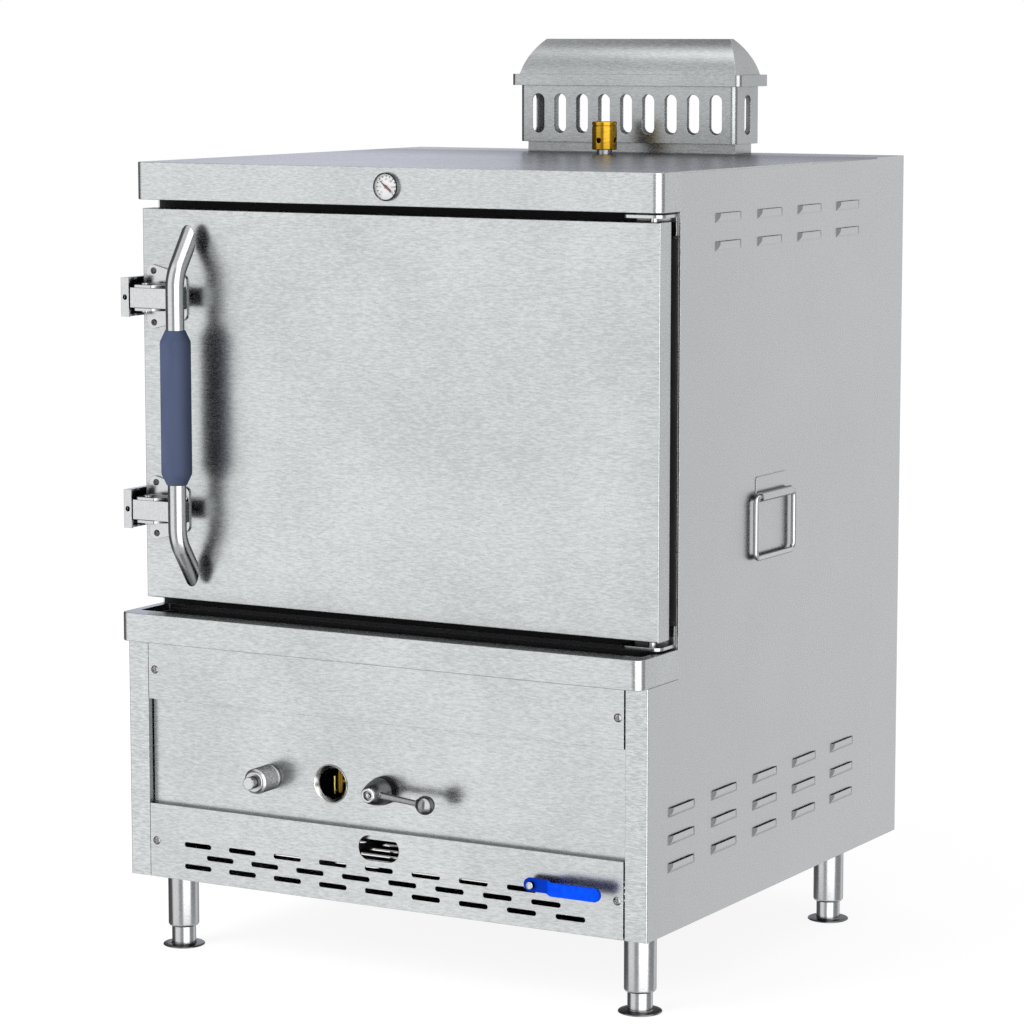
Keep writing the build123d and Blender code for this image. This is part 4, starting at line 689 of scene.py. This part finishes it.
enamel = coat("white_enamel", (0.86, 0.87, 0.87), (0.92, 0.92, 0.92), 0.35, 800)
scale_ink = coat("scale_ink", (0.006, 0.006, 0.007), (0.015, 0.015, 0.016), 0.5, 900)
scale_start, scale_sweep = 225, 270
ticks, numbers, number_step = 24, 6, 20
tick_out, number_out = 14.2, 9.3
long_tick, short_tick = (2.2, 1.5), (1.0, 0.5)
number_size = 0.0034
ink_lift = 0.00004
low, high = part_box("thermometer_dial")
dial = Vector(((low.x + high.x) / 2, low.y, (low.z + high.z) / 2))
upright = Matrix.Rotation(math.radians(90), 4, "X")
mesh = bmesh.new()
lathe(mesh, [(0.85, 0), (15.6, 0), (16, 0.2), (16, 0.6), (0.85, 0.6)], dial, backward,
      steps=64, closed=True)
ink = bmesh.new()
for i in range(ticks + 1):
    turn = math.radians(scale_start - scale_sweep * i / ticks)
    size = short_tick if i % 2 else long_tick
    out = (tick_out - size[0] / 2) / 1000
    tick = bmesh.ops.create_grid(ink, x_segments=1, y_segments=1, size=0.0005)["verts"]
    bmesh.ops.scale(ink, verts=tick, vec=(*size, 1))
    spot = upright @ Matrix.Rotation(turn, 4, "Z") @ Matrix.Translation((out, 0, ink_lift))
    bmesh.ops.transform(ink, matrix=Matrix.Translation(dial) @ spot, verts=tick)
for i in range(numbers + 1):
    turn = math.radians(scale_start - scale_sweep * i / numbers)
    out = number_out / 1000
    letters = bpy.data.curves.new("number", "FONT")
    letters.body = str(number_step * i)
    letters.size = number_size
    letters.align_x = "CENTER"
    letters.align_y = "CENTER"
    sign = bpy.data.objects.new("number", letters)
    scene.collection.objects.link(sign)
    shape = bpy.data.meshes.new_from_object(sign.evaluated_get(bpy.context.evaluated_depsgraph_get()))
    bpy.data.objects.remove(sign)
    spot = Matrix.Translation((out * math.cos(turn), out * math.sin(turn), ink_lift))
    shape.transform(Matrix.Translation(dial) @ upright @ spot)
    ink.from_mesh(shape)
    bpy.data.meshes.remove(shape)
for face in ink.faces:
    face.material_index = 1
marks = bpy.data.meshes.new("marks")
ink.to_mesh(marks)
ink.free()
mesh.from_mesh(marks)
bpy.data.meshes.remove(marks)
face_plate = fit_piece(mesh, "dial_plate", enamel, "cabinet", "dial_white", "thermometer_dial")
face_plate.data.materials.append(scale_ink)

# Pointer: a thin stamped hand, lacquered dark red, that turns on the thermometer's spindle in front of
# the dial.
red_lacquer = coat("red_lacquer", (0.10, 0.004, 0.010), (0.16, 0.008, 0.016), 0.4, 700)
dress(red_lacquer, "thermometer_pointer")


# Dial lens: a slightly domed disc of clear glass over the pointer, held behind the bezel's lip.
# It is faintly hazed.
def glass_paint(tone):
    haze = tone.grain((300, 300, 300))
    return {"Base_Color": (1, 1, 1, 1), "Roughness": haze * 0.04, "Transmission_Weight": 1.0, "IOR": 1.45}


lens_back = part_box("thermometer_lens")[1].y
lens = Vector((dial.x, lens_back, dial.z))
mesh = bmesh.new()
lathe(mesh, [(0, 0), (16, 0), (16, -0.5), (12, -1.05), (6, -1.4), (0, -1.55)], lens, backward, steps=64)
clear_glass = finish("clear_glass", glass_paint)
fit_piece(mesh, "domed_lens", clear_glass, "cabinet", "lens_glass", "thermometer_lens")

# Relief weight: a turned brass cap that sits loose over the relief pipe, golden and a little
# tarnished.
relief_brass = metal("golden_brass", (0.58, 0.31, 0.02), (0.84, 0.50, 0.05), 0.2, (60, 60, 900), 0.00004)
dress(relief_brass, "relief_weight")
